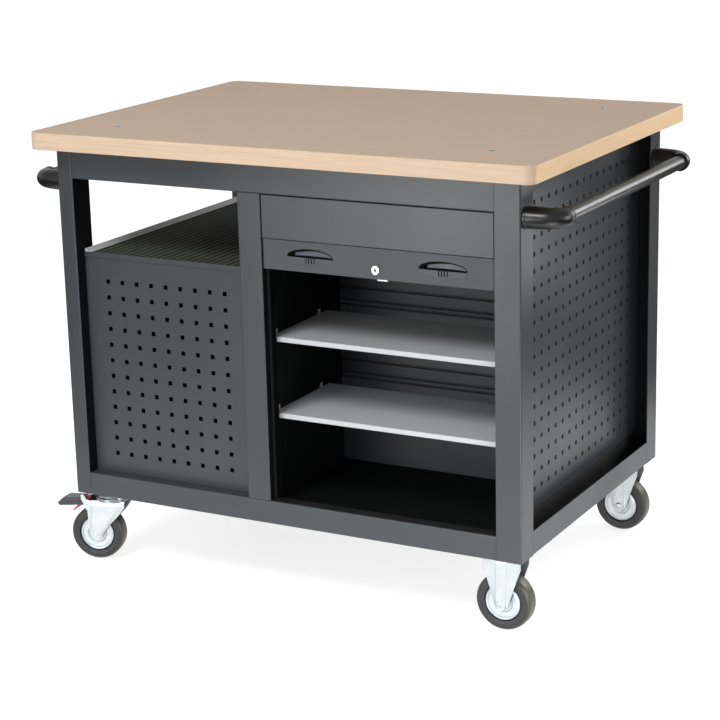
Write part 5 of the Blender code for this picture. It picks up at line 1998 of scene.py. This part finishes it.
# Studio


def looking(place: Point, way: Array, up: Point) -> Matrix:
    """The matrix of a light or camera at a place that looks along a way.

    Args:
        place: where it stands.
        way: the direction that it looks in.
        up: a direction that is upwards in its view.

    Returns:
        Its world matrix.
    """
    back = -way / np.linalg.norm(way)
    right = np.cross(np.asarray(up, float), back)
    right /= np.linalg.norm(right)
    true_up = np.cross(back, right)
    matrix = np.eye(4)
    matrix[:3, :3] = np.stack([right, true_up, back], axis=1)
    matrix[:3, 3] = place
    return Matrix(matrix.tolist())


@dataclass(frozen=True)
class SoftBox:
    """A square studio light: its place, the point that it faces, its side and its power."""

    name: str
    place: tuple[float, float, float]
    aim: tuple[float, float, float]
    side: float
    power: float

    def build(self) -> None:
        """Adds the light."""
        lamp = bpy.data.lights.new(self.name, "AREA")
        lamp.shape = "SQUARE"
        lamp.size = self.side
        lamp.energy = self.power
        light = add_object(self.name, lamp)
        light.visible_camera = False
        way = np.asarray(self.aim, float) - np.asarray(self.place, float)
        light.matrix_world = looking(self.place, way, (0.0, 0.0, 1.0))


@dataclass
class Studio:
    """The floor, the camera, the surround and the soft lights."""

    place: tuple[float, float, float] = (2.1711, -4.0260, 1.7062)
    azimuth: float = math.radians(28.579)
    drop: float = math.radians(15.430)
    roll: float = math.radians(-1.406)
    lens: float = 103.466
    sensor: float = 36.0
    clip_end: float = 200.0
    surround: tuple[tuple[float, str], ...] = (
        (0.0, "505050"),
        (0.49, "505050"),
        (0.53, "FFFFFF"),
        (0.80, "BCBCBC"),
    )
    floor_drop: float = 0.2 * MM
    floor_half: float = 40.0
    near_half: float = 1.3
    near_grid: int = 21
    boxes: tuple[SoftBox, ...] = (
        SoftBox("key_soft_box", (-0.4, -2.9, 3.7), (0.1, -0.2, 0.5), 1.3, 95.0),
        SoftBox("front_soft_box", (-0.9, -3.8, 0.95), (0.2, 0.0, 0.6), 1.6, 24.0),
        SoftBox("low_soft_box", (-0.55, -2.55, 0.45), (0.4, -0.3, 0.6), 1.0, 14.0),
        SoftBox("end_soft_box", (1.0, -0.85, 0.18), (0.52, -0.2, 0.25), 0.4, 4.4),
        SoftBox("upper_end_soft_box", (1.0, 0.49, 0.66), (0.54, -0.356, 0.926), 0.25, 0.7),
        SoftBox("right_soft_box", (3.4, 0.4, 1.15), (0.6, 0.0, 0.9), 1.2, 26.0),
        SoftBox("rear_soft_box", (2.0, 2.54, 1.65), (0.62, 0.0, 0.85), 1.2, 27.0),
    )

    def floor(self) -> None:
        """A level sheet on a grid of x and y: a table of floor under the bench, and the floor beyond it.

        The floor beyond shows behind the bench, but it neither lights the bench nor shows in its gloss.
        """
        near = np.linspace(-self.near_half, self.near_half, self.near_grid)
        line = np.concatenate([[-self.floor_half], near, [self.floor_half]])
        x, y = np.meshgrid(line, line)
        points = np.stack([x, y, np.full_like(x, -self.floor_drop)], axis=-1).reshape(-1, 3)
        quads = lattice(len(line), len(line))
        inside = np.abs(points[quads].mean(axis=1)[:, :2]).max(axis=1) < self.near_half
        pale = LitFloor("pale_lit_studio_floor", "BEBEBE", 0.6)
        for name, faces in (("studio_floor", quads[inside]), ("studio_floor_beyond", quads[~inside])):
            mesh = bpy.data.meshes.new(name)
            mesh.from_pydata(points.tolist(), [], faces.tolist())
            mesh.materials.append(pale.material())
            floor = add_object(name, mesh)
        floor.visible_diffuse = False
        floor.visible_glossy = False

    def camera(self) -> None:
        """The camera at the photograph's place: azimuth, drop and roll turn its axes."""
        lens = bpy.data.cameras.new("studio_camera")
        lens.lens = self.lens
        lens.sensor_width = self.sensor
        lens.clip_end = self.clip_end
        way = np.array([
            -math.sin(self.azimuth) * math.cos(self.drop),
            math.cos(self.azimuth) * math.cos(self.drop),
            -math.sin(self.drop),
        ])
        right = np.array([math.cos(self.azimuth), math.sin(self.azimuth), 0.0])
        up = np.cross(right, way) * math.cos(self.roll) - right * math.sin(self.roll)
        camera = add_object("studio_camera", lens)
        camera.matrix_world = looking(self.place, way, up)
        bpy.context.scene.camera = camera

    def world(self) -> None:
        """A surround that is white over the horizon and dark below it, with colours shown as they are."""
        world = bpy.data.worlds.new("studio_surround")
        world.use_nodes = True
        tree = world.node_tree
        place = add_node(tree, "ShaderNodeTexCoord")
        parts = add_node(tree, "ShaderNodeSeparateXYZ", {}, {"Vector": (place, "Object")})
        span = {"From Min": -1.0, "From Max": 1.0}
        height = add_node(tree, "ShaderNodeMapRange", span, {"Value": (parts, "Z")})
        tone = add_node(tree, "ShaderNodeValToRGB", {"ramp": self.surround}, {"Fac": (height, 0)})
        tree.links.new(tone.outputs[0], tree.nodes["Background"].inputs["Color"])
        tree.nodes["Background"].inputs["Strength"].default_value = 1.0
        scene = bpy.context.scene
        scene.world = world
        scene.view_settings.view_transform = "Standard"

    def build(self) -> None:
        """The whole studio."""
        self.floor()
        self.camera()
        self.world()
        for box in self.boxes:
            box.build()


def main() -> None:
    """Builds the bench piece by piece, then the studio."""
    logging.basicConfig(level=logging.INFO, format="%(message)s")
    BoardTop().build()
    FrameTubes().build()
    Panels().build()
    ToolTray().build()
    Cabinet().build()
    RollerShutter().build()
    for end in End:
        PushHandle(end).build()
    for row in Row:
        FixedCastor(row).build()
        SwivelCastor(row).build()
    Studio().build()


if __name__ == "__main__":
    main()
